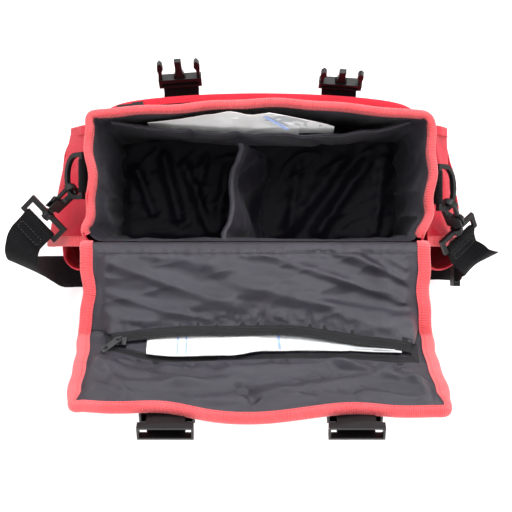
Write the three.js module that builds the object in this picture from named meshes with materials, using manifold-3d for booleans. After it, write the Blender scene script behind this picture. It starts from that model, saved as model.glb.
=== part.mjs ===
// A soft first-aid shoulder bag with its padded lid open: millimetres, +Z up, origin at the middle of the
// underside. The lid is hinged along the back (-Y) and buckles down over the front (+Y).
import * as THREE from "three";
import { mergeVertices } from "three/addons/utils/BufferGeometryUtils.js";
import Module from "manifold-3d";

const wasm = await Module();
wasm.setup();

// ---------------------------------------------------------------- driving dimensions
const bagWidth = 350;
const bagHeight = 230;
const backY = -70; // outer face of the back panel
const frontY = 66; // outer face of the front panel at its corners
const frontBulge = 12.5; // how much further the front stands out in its middle
const padding = 6; // thickness of a padded panel
const cloth = 1; // lining and other single cloth
const webThick = 1.6;
const webWidth = 38; // every strap is 38 mm webbing
const bindingThick = 1.5;
const bindingDrop = 16; // how far the edge tape reaches down each side of a panel
const gap = 0.3; // between pieces that are sewn or laid together
const strapX = 86; // the two closing straps, either side of the middle

// Lid: three padded lengths joined by two soft creases.
const lidWidth = 346;
const lidThick = 5;
const lidHingeY = backY - 4;
const lidHingeZ = bagHeight + 7;
const lidBackLength = 84;
const lidFrontLength = 76;
const lidLipLength = 38;
const lidFrontRise = 57; // degrees, at the crease along the zip
const hingeGap = 4; // padding stops this far from the hinge
const creaseGap = 5; // and this far from a crease
const zipHalfLength = 146;

// Pockets.
const frontPocketTop = 165;
const frontPocketBase = 20;
const frontPocketReach = 19;
const frontPocketHalf = 166;
const sidePocketBase = 14;
const sidePocketTop = 140;
const sidePocketReach = 42; // how far a side pocket stands out from the side panel
const pocketSkin = 1.8;

// Rings and clips.
const ringBarX = 182;
const ringBarZ = 211;
const ringDroop = 42; // degrees below level
const ringWire = 4.5;

const halfWidth = bagWidth / 2;
const degrees = Math.PI / 180;
const bothSides = [[-1, "left"], [1, "right"]];

// ---------------------------------------------------------------- materials
const finish = (color, roughness) => new THREE.MeshStandardMaterial({ color, roughness, metalness: 0 });
const redCloth = finish(0xd8283a, 0.8);
const redBinding = finish(0xf4565a, 0.85);
const blackLining = finish(0x37363d, 0.55);
const blackWebbing = finish(0x1c1c20, 0.8);
const blackPlastic = finish(0x1b1b1f, 0.4);
const greyBoard = finish(0x2b2b2e, 0.6);
const zipCloth = finish(0x202024, 0.75);

// ---------------------------------------------------------------- helpers
const bag = new THREE.Group();

function add(parent, name, geometry, material) {
  const mesh = new THREE.Mesh(geometry, material);
  mesh.name = name;
  parent.add(mesh);
}

function group(parent, x, y, z) {
  const made = new THREE.Group();
  made.position.set(x, y, z);
  parent.add(made);
  return made;
}

function box(x0, x1, y0, y1, z0, z1) {
  const block = new THREE.BoxGeometry(Math.abs(x1 - x0), Math.abs(y1 - y0), Math.abs(z1 - z0));
  return block.translate((x0 + x1) / 2, (y0 + y1) / 2, (z0 + z1) / 2);
}

const rod = (radius, x0, x1, y = 0, z = 0) =>
  new THREE.CylinderGeometry(radius, radius, x1 - x0, 16).rotateZ(Math.PI / 2).translate((x0 + x1) / 2, y, z);

// An outline in plan, raised from z0 to z1.
function raise(points, z0, z1) {
  const shape = new THREE.Shape(points.map(([x, y]) => new THREE.Vector2(x, y)));
  return new THREE.ExtrudeGeometry(shape, { depth: z1 - z0, bevelEnabled: false }).translate(0, 0, z0);
}

// A profile of [x, z] points, run from y0 to y1.
const runAlongY = (profile, y0, y1) =>
  raise(profile.map(([x, z]) => [x, -z]), y0, y1).rotateX(-Math.PI / 2);

function solid(geometry) {
  const bare = geometry.clone();
  bare.deleteAttribute("normal");
  bare.deleteAttribute("uv");
  const merged = mergeVertices(bare, 1e-4);
  return new wasm.Manifold(
    new wasm.Mesh({
      numProp: 3,
      vertProperties: new Float32Array(merged.attributes.position.array),
      triVerts: new Uint32Array(merged.index.array),
    }),
  );
}

function geometryOf(made) {
  const mesh = made.getMesh();
  const geometry = new THREE.BufferGeometry();
  geometry.setAttribute("position", new THREE.BufferAttribute(mesh.vertProperties, 3));
  geometry.setIndex(new THREE.BufferAttribute(mesh.triVerts, 1));
  return geometry;
}

const cut = (geometry, ...tools) =>
  geometryOf(tools.reduce((left, tool) => left.subtract(solid(tool)), solid(geometry)));
const join = (...pieces) => geometryOf(pieces.map(solid).reduce((all, piece) => all.add(piece)));

function arc(cx, cy, rx, ry, from, to, steps) {
  return Array.from({ length: steps + 1 }, (_, i) => {
    const angle = (from + ((to - from) * i) / steps) * degrees;
    return [cx + rx * Math.cos(angle), cy + ry * Math.sin(angle)];
  });
}

// Webbing laid along a path: each station has a centre and the direction of the strap's width.
// It has several faces across its width, so that its two sides stay apart where it twists.
const acrossSteps = 4;
function ribbon(stations, width, thickness, steps) {
  const through = (key) => {
    const points = stations.map((s) => new THREE.Vector3(...s[key]));
    return new THREE.CatmullRomCurve3(points, false, "centripetal");
  };
  const centres = through("at");
  const across = through("across");
  const strap = new THREE.BoxGeometry(width, thickness, 1, acrossSteps, 1, steps);
  const position = strap.attributes.position;
  for (let i = 0; i < position.count; i++) {
    const along = Math.round((position.getZ(i) + 0.5) * steps) / steps;
    const centre = centres.getPoint(along);
    const tangent = centres.getTangent(along);
    const normal = new THREE.Vector3().crossVectors(tangent, across.getPoint(along)).normalize();
    const side = new THREE.Vector3().crossVectors(normal, tangent).normalize();
    centre.addScaledVector(side, position.getX(i)).addScaledVector(normal, position.getY(i));
    position.setXYZ(i, centre.x, centre.y, centre.z);
  }
  return strap;
}

// ---------------------------------------------------------------- the body's plan
// The front is an arc; a positive offset lies outside the bag's outer face, a negative one inside it.
const frontRadius = (halfWidth ** 2 + frontBulge ** 2) / (2 * frontBulge);
const frontCentreY = frontY + frontBulge - frontRadius;
const frontAt = (x, offset) => frontCentreY + Math.sqrt((frontRadius + offset) ** 2 - x ** 2);

function frontLine(halfSpan, offset, steps = 10) {
  return Array.from({ length: steps + 1 }, (_, i) => {
    const x = halfSpan - (2 * halfSpan * i) / steps;
    return [x, frontAt(x, offset)];
  });
}

function planOutline(offset, back = backY - offset) {
  const x = halfWidth + offset;
  return [[-x, back], [x, back], ...frontLine(x, offset)];
}

// A group on the front's curve, its own X along the cloth and its own Y standing out from it.
function onFront(x, offset, z) {
  const made = group(bag, x, frontAt(x, offset), z);
  made.rotation.z = -Math.asin(x / (frontRadius + offset));
  return made;
}

// ---------------------------------------------------------------- padded panels, base and lining
const wallBase = padding + gap;
const innerX = halfWidth - padding;

function addBody() {
  const sideFront = frontAt(halfWidth, -padding) - gap;
  const backHalf = innerX - gap;
  add(bag, "base_panel", raise(planOutline(0), 0, padding), redCloth);
  add(bag, "back_panel", box(-backHalf, backHalf, backY, backY + padding, wallBase, bagHeight), redCloth);
  const front = [...frontLine(halfWidth, 0), ...frontLine(halfWidth, -padding).reverse()];
  add(bag, "front_panel", raise(front, wallBase, bagHeight), redCloth);
  for (const [side, name] of bothSides) {
    const panel = box(side * innerX, side * halfWidth, backY, sideFront, wallBase, bagHeight);
    add(bag, `side_panel_${name}`, panel, redCloth);
  }
  const boardTop = wallBase + 2;
  add(bag, "base_board", raise(planOutline(-padding - 2), wallBase, boardTop), greyBoard);
  const lining = cut(
    raise(planOutline(-padding - gap), boardTop + gap, bagHeight - gap),
    raise(planOutline(-padding - gap - cloth), boardTop + gap + cloth, bagHeight + 10),
  );
  add(bag, "lining", lining, blackLining);
}

// Edge tape folded over the rim of both sides and the front; the back edge runs on into the lid.
function addRimBinding() {
  const outer = gap + bindingThick;
  const inner = -padding - gap - cloth - gap;
  const back = backY + padding + cloth + 2 * gap;
  const low = bagHeight - bindingDrop;
  const high = bagHeight + gap + bindingThick;
  const folded = cut(
    raise(planOutline(outer, back), low, high),
    raise(planOutline(inner - bindingThick, back - 5), low - 1, high + 1),
  );
  const held = cut(
    raise(planOutline(gap, back - 9), low - 1, bagHeight + gap),
    raise(planOutline(inner, back - 10), low - 2, high),
  );
  add(bag, "rim_binding", cut(folded, held), redBinding);
}

// ---------------------------------------------------------------- inside: divider and slip pocket
const slipBase = 34;
const slipTop = 212;
const slipHalf = 154;
const slipEndY = 52;
const slipMiddleY = 44;

function addDivider() {
  const half = 1.5;
  const foot = { x: -24, z: 12 };
  const head = { x: 9, z: 182 };
  const profile = [
    [foot.x - half, foot.z],
    [foot.x + half, foot.z],
    [head.x + half, head.z],
    [head.x - half, head.z],
  ];
  add(bag, "divider", runAlongY(profile, backY + padding + 2, slipMiddleY - 3), blackLining);
}

function addSlipPocket() {
  const wallOffset = -padding - gap - cloth - gap;
  const lens = (inset) => {
    const half = slipHalf - inset;
    const wall = frontLine(half, wallOffset + (inset ? 3 : 0));
    const bellyAt = (x) => slipEndY - (slipEndY - slipMiddleY) * (1 - (x / slipHalf) ** 2);
    const face = wall.map(([x]) => [-x, bellyAt(x) + inset]);
    return [...wall, ...face];
  };
  const pocket = cut(raise(lens(0), slipBase, slipTop), raise(lens(1.2), slipBase + 1.2, slipTop + 5));
  add(bag, "slip_pocket", pocket, blackLining);
}

// ---------------------------------------------------------------- front pocket and its zip
function addFrontPocket() {
  const shell = (half, inner, outer) => [...frontLine(half, outer), ...frontLine(half, inner).reverse()];
  const skin = pocketSkin;
  const pocket = cut(
    raise(shell(frontPocketHalf, gap, frontPocketReach), frontPocketBase, frontPocketTop),
    raise(
      shell(frontPocketHalf - skin, -3, frontPocketReach - skin),
      frontPocketBase + skin,
      frontPocketTop - skin,
    ),
  );
  add(bag, "front_pocket", pocket, redCloth);
  const half = 140;
  const middle = frontPocketReach / 2;
  const low = frontPocketTop + gap;
  const zip = join(
    raise(shell(half, middle - 5, middle + 5), low, low + 0.9),
    raise(shell(half - 2, middle - 2, middle + 2), low + 0.5, low + 2.2),
  );
  add(bag, "front_zip", zip, zipCloth);
  const slider = onFront(-half + 10, middle, low + 2.6);
  const tab = box(-22, -5, -3.2, 3.2, 1.2, 2.4);
  add(slider, "front_zip_slider", join(box(-6, 6, -4.5, 4.5, 0, 2), tab), blackPlastic);
}

// ---------------------------------------------------------------- closing straps on the body
const strapLow = 8;
const strapFaceOffset = frontPocketReach + 0.5;
const maleHinge = { z: 138, out: strapFaceOffset + webThick + 8 };

function addBodyStraps(side, name) {
  const half = webWidth / 2;
  const front = onFront(side * strapX, strapFaceOffset, 0);
  const strap = box(-half, half, 0, webThick, frontPocketBase + 2, maleHinge.z);
  add(front, `front_strap_${name}`, strap, blackWebbing);
  const x = side * strapX;
  const back = box(x - half, x + half, backY - gap - webThick, backY - gap, strapLow, bagHeight - 4);
  add(bag, `back_strap_${name}`, back, blackWebbing);
}

// ---------------------------------------------------------------- side pockets and their covers
const pocketOuterX = halfWidth + sidePocketReach;
const coverHingeZ = 180;
const coverEdgeZ = 150;
const pocketBackY = -93; // where the loose gusset of the pocket ends

function addSidePocket(side, name) {
  const bulge = 20; // radius of the loose gusset at the pocket's back end
  const corner = 10;
  const outline = (inset) => {
    const wall = halfWidth + gap + (inset ? -0.2 : 0);
    const half = bulge - inset;
    const points = [
      [wall, -58],
      [wall + 1.5, -62],
      ...arc(pocketOuterX - bulge, pocketBackY + bulge, half, half, 180, 360, 10),
      ...arc(pocketOuterX - corner, 48, corner - inset, corner - inset, 0, 90, 4),
      [wall, 58 - inset],
    ];
    return points.map(([x, y]) => [side * x, y]);
  };
  const ordered = (inset) => (side > 0 ? outline(inset) : outline(inset).reverse());
  const pocket = cut(
    raise(ordered(0), sidePocketBase, sidePocketTop),
    raise(ordered(pocketSkin), sidePocketBase + pocketSkin, sidePocketTop + 5),
  );
  add(bag, `side_pocket_${name}`, pocket, redCloth);
}

// The cover slopes from the side panel out over the pocket, then hangs down outside it.
function addSideCover(side, name) {
  const lowZ = 114;
  const wallX = halfWidth + gap;
  const inner = pocketOuterX + 1.5;
  const outer = inner + 2;
  const profile = [
    [wallX, coverHingeZ - 1.5],
    [wallX, coverHingeZ + 1],
    [wallX + 3, coverHingeZ],
    [outer - 3, coverEdgeZ],
    [outer, coverEdgeZ - 3],
    [outer, lowZ],
    [inner, lowZ],
    [inner, coverEdgeZ - 4],
    [inner - 2, coverEdgeZ - 2],
  ].map(([x, z]) => [side * x, z]);
  const ordered = side > 0 ? profile : profile.reverse();
  add(bag, `side_cover_${name}`, runAlongY(ordered, -66, 60), redCloth);
}

// ---------------------------------------------------------------- lid
const lidTop = lidThick / 2;
const lidHalf = lidWidth / 2;

const lidSlab = (length, startGap, endGap) =>
  box(-lidHalf, lidHalf, -length + endGap, -startGap, -lidTop, lidTop);

// Edge tape folded over one side of one length of the lid.
function lidEdgeTape(side, length, startGap, endGap) {
  const reach = lidHalf + gap + bindingThick;
  const half = lidTop + gap;
  const high = half + bindingThick;
  const sleeve = box(side * (lidHalf - 12), side * reach, -length + endGap, -startGap, -high, high);
  return cut(sleeve, box(side * (lidHalf - 13), side * (lidHalf + gap), -length, 0, -half, half));
}

function lidStrap(side, length, startGap, endGap) {
  const low = -lidTop - gap - webThick;
  const x = side * strapX;
  return box(x - webWidth / 2, x + webWidth / 2, -length + endGap, -startGap, low, low + webThick);
}

function tapeWithTeeth(y0, y1, z, teethY) {
  const tape = box(-zipHalfLength, zipHalfLength, y0, y1, z, z + 1);
  const teeth = box(-zipHalfLength + 2, zipHalfLength - 2, teethY - 1.1, teethY + 1.1, z - 0.2, z + 1.7);
  return join(tape, teeth);
}

// One length of the lid: its padded panel, both edge tapes and both straps.
function addLidLength(parent, name, length, startGap) {
  add(parent, `lid_${name}_panel`, lidSlab(length, startGap, creaseGap), redCloth);
  for (const [side, sideName] of bothSides) {
    const tape = lidEdgeTape(side, length, startGap, creaseGap);
    add(parent, `lid_${name}_binding_${sideName}`, tape, redBinding);
    add(parent, `lid_${name}_strap_${sideName}`, lidStrap(side, length, startGap, creaseGap), blackWebbing);
  }
}

// The zip pocket is a shallow tray of lining cloth on the lid, open along the zip.
const trayHalf = 158;
const trayHeight = 9;
const trayStart = 13;
const trayEnd = lidBackLength - 8;
const mouthZ = lidTop + gap + trayHeight - cloth;

function addLidPocket(back) {
  const top = mouthZ + cloth;
  const tray = cut(
    box(-trayHalf, trayHalf, -trayEnd, -trayStart, lidTop + gap, top),
    box(-trayHalf + cloth, trayHalf - cloth, -trayEnd - 2, -trayStart - cloth, lidTop - 1, mouthZ),
  );
  add(back, "lid_pocket", tray, blackLining);
  const edge = -lidBackLength + 2.4;
  add(back, "zip_tape_upper", tapeWithTeeth(edge, -trayEnd - gap, mouthZ, edge), zipCloth);
}

const zipLowerStart = 27;
const zipLowerEnd = 36;

function addLid() {
  const back = group(bag, 0, lidHingeY, lidHingeZ);
  addLidLength(back, "back", lidBackLength, hingeGap);
  addLidPocket(back);
  addZipSlider(back);

  const front = group(back, 0, -lidBackLength, 0);
  front.rotation.x = -lidFrontRise * degrees;
  addLidLength(front, "front", lidFrontLength, creaseGap);
  const low = lidTop + gap;
  const skin = box(-160, 160, -lidFrontLength + creaseGap, -zipLowerEnd - gap, low, low + cloth);
  add(front, "lid_front_lining", skin, blackLining);
  add(front, "zip_tape_lower", tapeWithTeeth(-zipLowerEnd, -zipLowerStart, low, -zipLowerStart), zipCloth);
  addLip(group(front, 0, -lidFrontLength, 0));
}

// ---------------------------------------------------------------- the lip, with its rounded corners
function addLip(lip) {
  const round = 20;
  const outline = (inset, start) => [
    [-lidHalf + inset, -start],
    ...arc(-lidHalf + round, -lidLipLength + round, round - inset, round - inset, 180, 270, 5),
    ...arc(lidHalf - round, -lidLipLength + round, round - inset, round - inset, 270, 360, 5),
    [lidHalf - inset, -start],
  ];
  add(lip, "lid_lip_panel", raise(outline(0, creaseGap), -lidTop, lidTop), redCloth);
  const half = lidTop + gap;
  const tape = cut(
    raise(outline(-gap - bindingThick, creaseGap), -half - bindingThick, half + bindingThick),
    raise(outline(12, 0), -half - 5, half + 5),
    raise(outline(-gap, 0), -half, half),
  );
  add(lip, "lid_lip_binding", tape, redBinding);
  for (const [side, name] of bothSides) {
    addFemaleBuckle(lip, side * strapX, name);
  }
}

// ---------------------------------------------------------------- side-release buckles
const femaleHalf = 25.5;
const femaleHalfThick = 7;
const femaleReach = 13; // how far the socket stands beyond the lid's edge
const femaleDrop = lidTop + gap + bindingThick + 0.7 + femaleHalfThick;

function addFemaleBuckle(lip, middle, name) {
  const wall = 2;
  const thick = femaleHalfThick;
  const mouth = -lidLipLength - femaleReach;
  const barY = -lidLipLength + 26;
  const holder = group(lip, middle, 0, -femaleDrop);
  const shell = box(-femaleHalf, femaleHalf, mouth, barY + 4, -thick, thick);
  const inside = femaleHalf - wall;
  const socket = box(-inside, inside, mouth - 1, mouth + 30, -thick + wall, thick - wall);
  const windows = [-1, 1].map((side) =>
    box(side * (femaleHalf - 8), side * (femaleHalf + 1), mouth + 8, mouth + 22, -thick - 1, thick + 1),
  );
  const slotHalf = webWidth / 2 + 1;
  const slot = box(-slotHalf, slotHalf, barY - 6, barY - 0.5, -thick - 1, thick + 1);
  add(holder, `female_buckle_${name}`, cut(shell, socket, ...windows, slot), blackPlastic);
}

const maleTail = 14;
const maleRise = { left: 60, right: 76 }; // degrees above level

function addMaleBuckle(side, name) {
  const holder = onFront(side * strapX, maleHinge.out, maleHinge.z);
  holder.rotation.order = "ZYX";
  holder.rotation.x = maleRise[name] * degrees;
  const plugStart = maleTail + 6.5;
  const slotHalf = webWidth / 2 + 1;
  const placed = (points, hand = 1) => points.map(([x, y]) => [hand * x, plugStart + y]);
  const bar = box(-23, 23, maleTail - 6, plugStart + 0.5, -4.5, 4.5);
  const slot = box(-slotHalf, slotHalf, maleTail - 3.2, maleTail + 1.6, -5, 5);
  const guide = [[-6.5, 0], [6.5, 0], [3.6, 10], [3.6, 26], [-3.6, 26], [-3.6, 10]];
  const tineOuter = [[18.5, 0], [22, 0], [22, 9], [22.8, 14], [22.4, 21]];
  const tineInner = [[19.5, 25.5], [16.8, 22], [16.2, 16], [18.5, 11]];
  const tine = [...tineOuter, ...tineInner];
  const plug = cut(
    join(
      bar,
      raise(placed(guide), -2.5, 2.5),
      raise(placed(tine), -2.8, 2.8),
      raise(placed(tine, -1).reverse(), -2.8, 2.8),
    ),
    slot,
  );
  add(holder, `male_buckle_${name}`, plug, blackPlastic);
  // Webbing folded round the near bar of the plug.
  const half = webWidth / 2;
  const loop = cut(
    box(-half, half, 0, maleTail + 1.2, -6.8, 6.8),
    box(-half - 1, half + 1, -1, maleTail - 0.4, -5.2, 5.2),
  );
  add(holder, `male_tail_${name}`, loop, blackWebbing);
}

// ---------------------------------------------------------------- zip slider and pull
const sliderSet = { y: -4.2, z: 18.8, tilt: -44 }; // beside the crease, in the plane of the open zip
const pullYaw = -45;
const pinZ = 5.8;

function addZipSlider(back) {
  const slider = group(back, -zipHalfLength + 9, -lidBackLength + sliderSet.y, sliderSet.z);
  slider.rotation.x = sliderSet.tilt * degrees;
  const bail = group(slider, 0, 0, 0);
  bail.rotation.z = pullYaw * degrees;
  const post = box(-1, 1, -2, 2, 1.8, 7.4).rotateZ(pullYaw * degrees);
  const hole = rod(1.1, -3, 3, 0, pinZ).rotateZ(pullYaw * degrees);
  add(slider, "zip_slider", cut(join(box(-6, 6, -4.5, 4.5, -2, 2), post), hole), blackPlastic);
  const pull = join(
    rod(0.8, -3.1, 3.1, 0, pinZ),
    box(1.4, 3.2, -5, 0.8, pinZ - 0.6, pinZ + 0.6),
    box(-3.2, -1.4, -5, 0.8, pinZ - 0.6, pinZ + 0.6),
    box(-3.2, 3.2, -22, -4, pinZ - 0.6, pinZ + 0.6),
  );
  add(bail, "zip_pull", cut(pull, box(-1.7, 1.7, -20, -15, 0, 9)), blackPlastic);
}

// ---------------------------------------------------------------- D-rings and their tabs
const ringHalf = 21.75; // along the bar, to the middle of the wire
const ringLeg = 10;
const ringBow = 14.3;
const ringY = { left: 4, right: -8 };

function addRing(side, name) {
  const holder = group(bag, side * ringBarX, ringY[name], ringBarZ);
  // Its own X runs outwards from the bag, tipped down by the droop.
  holder.rotation.order = "ZYX";
  holder.rotation.z = side > 0 ? 0 : Math.PI;
  holder.rotation.y = ringDroop * degrees;
  const outline = (grow) => [
    [-grow, -ringHalf - grow],
    [ringLeg, -ringHalf - grow],
    ...arc(ringLeg, 0, ringBow + grow, ringHalf + grow, -75, 75, 10),
    [ringLeg, ringHalf + grow],
    [-grow, ringHalf + grow],
  ];
  const half = ringWire / 2;
  const ring = cut(raise(outline(half), -half, half), raise(outline(-half), -ringWire, ringWire));
  add(holder, `d_ring_${name}`, ring, blackPlastic);
}

// Webbing folded round the ring's bar and sewn to the side panel under the rim.
function addRingTab(side, name) {
  const holder = group(bag, side * ringBarX, ringY[name], ringBarZ);
  holder.rotation.z = side > 0 ? 0 : Math.PI;
  const inner = ringWire / 2 + 1.1;
  const outer = inner + webThick;
  const wall = halfWidth + bindingThick + 2 * gap - ringBarX;
  const half = 17;
  const tube = (radius) => new THREE.CylinderGeometry(radius, radius, 2 * half, 20);
  const bore = new THREE.CylinderGeometry(inner, inner, 2 * half + 2, 20);
  const fold = cut(
    join(box(wall, 0, -half, half, -outer, outer), tube(outer)),
    box(wall - 1, 0, -half - 1, half + 1, -inner, inner),
    bore,
  );
  add(holder, `d_ring_tab_${name}`, fold, blackWebbing);
}

// ---------------------------------------------------------------- snap hooks and their swivel eyes
const clipPlace = {
  left: { bowAngle: 45, heading: 44, slope: 12, eyeRoll: 0 },
  right: { bowAngle: 60, heading: 62, slope: 40, eyeRoll: -20 },
};
const eyeStart = 31;
const barAt = 48.5; // middle of the eye's strap bar, along the clip
const eyeHalf = 25;
const eyeHalfThick = 2;
const shank = 3.2;
const jaw = 5.4; // inner radius of the hook's jaw
const jawOuter = 9.8;

// A group at the middle of the ring's wire: its own X runs from the hook's jaw to the strap's bar.
function clipGroup(side, name) {
  const { bowAngle, heading, slope } = clipPlace[name];
  const out = ringLeg + ringBow * Math.cos(bowAngle * degrees);
  const droop = ringDroop * degrees;
  const made = group(
    bag,
    side * (ringBarX + out * Math.cos(droop)),
    ringY[name] - ringHalf * Math.sin(bowAngle * degrees),
    ringBarZ - out * Math.sin(droop),
  );
  made.rotation.order = "ZYX";
  made.rotation.z = side > 0 ? -heading * degrees : Math.PI + heading * degrees;
  made.rotation.y = slope * degrees;
  return made;
}

// The roll that sets the hook's jaw square to the ring's wire, with its bolt uppermost.
function hookRoll(clip, side, name) {
  const bow = clipPlace[name].bowAngle * degrees;
  const outwards = -ringBow * Math.sin(bow);
  const droop = ringDroop * degrees;
  const wire = new THREE.Vector3(
    side * outwards * Math.cos(droop),
    -ringHalf * Math.cos(bow),
    -outwards * Math.sin(droop),
  ).applyQuaternion(clip.quaternion.clone().invert());
  const roll = Math.atan2(-wire.y, wire.z);
  return Math.sin(roll) < 0 ? roll + Math.PI : roll;
}

function addHook(clip, side, name) {
  const hook = group(clip, 0, 0, 0);
  hook.rotation.x = hookRoll(clip, side, name);
  const set = 1.2; // the jaw's inner end sits this much past the wire
  const throatEnd = 9;
  const body = [...arc(set, 0, jawOuter, jawOuter, 90, 270, 10), [27, -jawOuter + 2], [27, jawOuter]];
  const throat = [...arc(set, 0, jaw, jaw, 90, 270, 10), ...arc(throatEnd, 0, jaw, jaw, -90, 90, 10)];
  const made = cut(
    join(raise(body, -3.3, 3.3), rod(shank, 25.5, 37.5), rod(4.6, 37.3, 39.6)),
    raise(throat, -4, 4),
    box(-1.5, 13, 4.8, 12, -4, 4),
    box(12, 28, 4.6, 12, -2.1, 2.1),
  );
  add(hook, `snap_hook_${name}`, made, blackPlastic);
  const bolt = join(box(-1.1, 17.5, 5.2, 8.6, -1.7, 1.7), box(12.8, 17.2, 8.2, 12.5, -1.7, 1.7));
  add(hook, `hook_bolt_${name}`, bolt, blackPlastic);
}

function addSwivelEye(clip, name) {
  const eye = group(clip, 0, 0, 0);
  eye.rotation.x = clipPlace[name].eyeRoll * degrees;
  const half = eyeHalfThick;
  const frame = cut(
    join(box(eyeStart, barAt + 2, -eyeHalf, eyeHalf, -half, half), rod(6.4, eyeStart, eyeStart + 5.4)),
    box(eyeStart + 5.4, barAt - 2, -eyeHalf + 4.5, eyeHalf - 4.5, -8, 8),
    rod(shank + 0.35, eyeStart - 1, eyeStart + 6),
  );
  add(eye, `swivel_eye_${name}`, frame, blackPlastic);
  // Webbing folded round the eye's bar.
  const inner = half + gap + 0.2;
  const outer = inner + webThick;
  const strapHalf = webWidth / 2;
  const near = barAt - 2 - gap;
  const fold = cut(
    box(near - webThick, barAt + 15, -strapHalf, strapHalf, -outer, outer),
    box(near, barAt + 16, -strapHalf - 1, strapHalf + 1, -inner, inner),
  );
  add(eye, `strap_end_${name}`, fold, blackWebbing);
  return eye;
}

// ---------------------------------------------------------------- shoulder strap
const strapLie = 1.2; // the strap's middle above the ground it lies on
const strapSteps = 110;
const restY = -97; // it lies behind the bag, under the open lid

function strapStart(eye) {
  eye.updateWorldMatrix(true, false);
  const local = (x, y, z) => new THREE.Vector3(x, y, z).applyMatrix4(eye.matrixWorld);
  const at = local(barAt + 15.5, 0, 0);
  return { at, ahead: local(barAt + 16.5, 0, 0).sub(at), across: local(barAt + 15.5, 1, 0).sub(at) };
}

function addShoulderStrap(eyes) {
  const left = strapStart(eyes.left);
  const right = strapStart(eyes.right);
  const from = (end, distance, drop) => {
    const point = end.at.clone().addScaledVector(end.ahead, distance);
    return [point.x, point.y, point.z - drop];
  };
  const leftAcross = left.across.toArray();
  const rightAcross = right.across.clone().negate().toArray();
  const back = [0, -1, 0];
  const offset = (end, x, y, z) => [end.at.x + x, end.at.y + y, end.at.z + z];
  const [adjusterX, adjusterY, adjusterZ] = [225, -88, 78];
  const threaded = (z) => ({ at: [adjusterX, adjusterY, z], across: back });
  const stations = [
    { at: from(left, 0, 0), across: leftAcross },
    { at: from(left, 6, 0.8), across: leftAcross },
    { at: [-250, -68, 180.5], across: [0.78, -0.62, 0] },
    { at: [-253, -80, 174], across: [0.88, -0.47, 0] },
    { at: [-254, -88, 158], across: [0.92, -0.39, 0] },
    { at: [-252, -91, 128], across: [0.86, -0.51, 0] },
    { at: [-247, -93, 90], across: [0.66, -0.75, 0] },
    { at: [-239, -96, 48], across: [0.3, -0.95, 0] },
    { at: [-231, restY, 18], across: back },
    { at: [-222, restY, 6], across: back },
    { at: [-208, restY, strapLie + 0.6], across: back },
    { at: [-185, restY, strapLie], across: back },
    { at: [-120, restY - 8, strapLie], across: back },
    { at: [0, restY - 14, strapLie], across: back },
    { at: [120, restY - 4, strapLie], across: back },
    { at: [178, -93, strapLie], across: back },
    { at: [200, -89, strapLie + 0.6], across: back },
    { at: [214, -88, 5], across: back },
    { at: [222, -88, 16], across: back },
    threaded(36),
    threaded(54),
    threaded(66),
    threaded(adjusterZ),
    threaded(90),
    { at: offset(right, 12, -14, -54), across: [-0.3, -0.95, 0] },
    { at: offset(right, 21, -13, -36), across: [-0.7, -0.72, 0] },
    { at: offset(right, 25, -12, -20), across: [-0.9, -0.44, 0] },
    { at: offset(right, 15, -12, -9), across: [-0.9, -0.43, 0] },
    { at: from(right, 6, 0.5), across: rightAcross },
    { at: from(right, 0, 0), across: rightAcross },
  ];
  add(bag, "shoulder_strap", ribbon(stations, webWidth, webThick, strapSteps), blackWebbing);
  addStrapAdjuster(adjusterX, adjusterY, adjusterZ);
}

// A bar slider threaded on the strap.
function addStrapAdjuster(x, y, z) {
  const holder = group(bag, x, y, z);
  const slotHalf = webWidth / 2 + 1.5;
  const frame = cut(
    box(-3.8, 3.8, -slotHalf - 4, slotHalf + 4, -11, 11),
    box(-2.2, 2.2, -slotHalf, slotHalf, -12, 12),
    box(1, 5, -slotHalf + 2, slotHalf - 2, -8.5, -2),
    box(1, 5, -slotHalf + 2, slotHalf - 2, 2, 8.5),
  );
  add(holder, "strap_adjuster", frame, blackPlastic);
}

// ---------------------------------------------------------------- assembly
addBody();
addRimBinding();
addDivider();
addSlipPocket();
addFrontPocket();
addLid();
const eyes = {};
for (const [side, name] of bothSides) {
  addBodyStraps(side, name);
  addSidePocket(side, name);
  addSideCover(side, name);
  addMaleBuckle(side, name);
  addRing(side, name);
  addRingTab(side, name);
  const clip = clipGroup(side, name);
  addHook(clip, side, name);
  eyes[name] = addSwivelEye(clip, name);
}
addShoulderStrap(eyes);

export default bag;
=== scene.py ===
import math

import bpy
import numpy as np
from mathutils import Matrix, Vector, noise


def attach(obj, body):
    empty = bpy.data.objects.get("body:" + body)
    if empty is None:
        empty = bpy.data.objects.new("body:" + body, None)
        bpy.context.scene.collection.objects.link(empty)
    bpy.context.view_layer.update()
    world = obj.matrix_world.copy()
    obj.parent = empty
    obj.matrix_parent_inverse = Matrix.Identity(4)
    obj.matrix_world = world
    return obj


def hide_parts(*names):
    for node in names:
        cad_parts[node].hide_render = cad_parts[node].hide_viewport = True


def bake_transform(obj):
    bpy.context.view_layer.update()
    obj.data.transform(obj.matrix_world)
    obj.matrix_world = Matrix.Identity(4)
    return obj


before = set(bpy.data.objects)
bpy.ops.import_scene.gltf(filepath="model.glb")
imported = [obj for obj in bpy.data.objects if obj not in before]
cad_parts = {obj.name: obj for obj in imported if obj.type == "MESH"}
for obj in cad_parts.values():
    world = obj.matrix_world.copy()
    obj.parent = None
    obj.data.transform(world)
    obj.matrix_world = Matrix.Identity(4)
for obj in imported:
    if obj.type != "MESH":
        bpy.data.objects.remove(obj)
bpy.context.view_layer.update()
MM = 0.001
SIDES = ((-1, "left"), (1, "right"))


# ---------------------------------------------------------------- small maths
def unit(a):
    a = np.asarray(a, float)
    return a / np.maximum(np.linalg.norm(a, axis=-1, keepdims=True), 1e-9)


def smooth(t):
    t = np.clip(t, 0, 1)
    return t * t * (3 - 2 * t)


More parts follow.
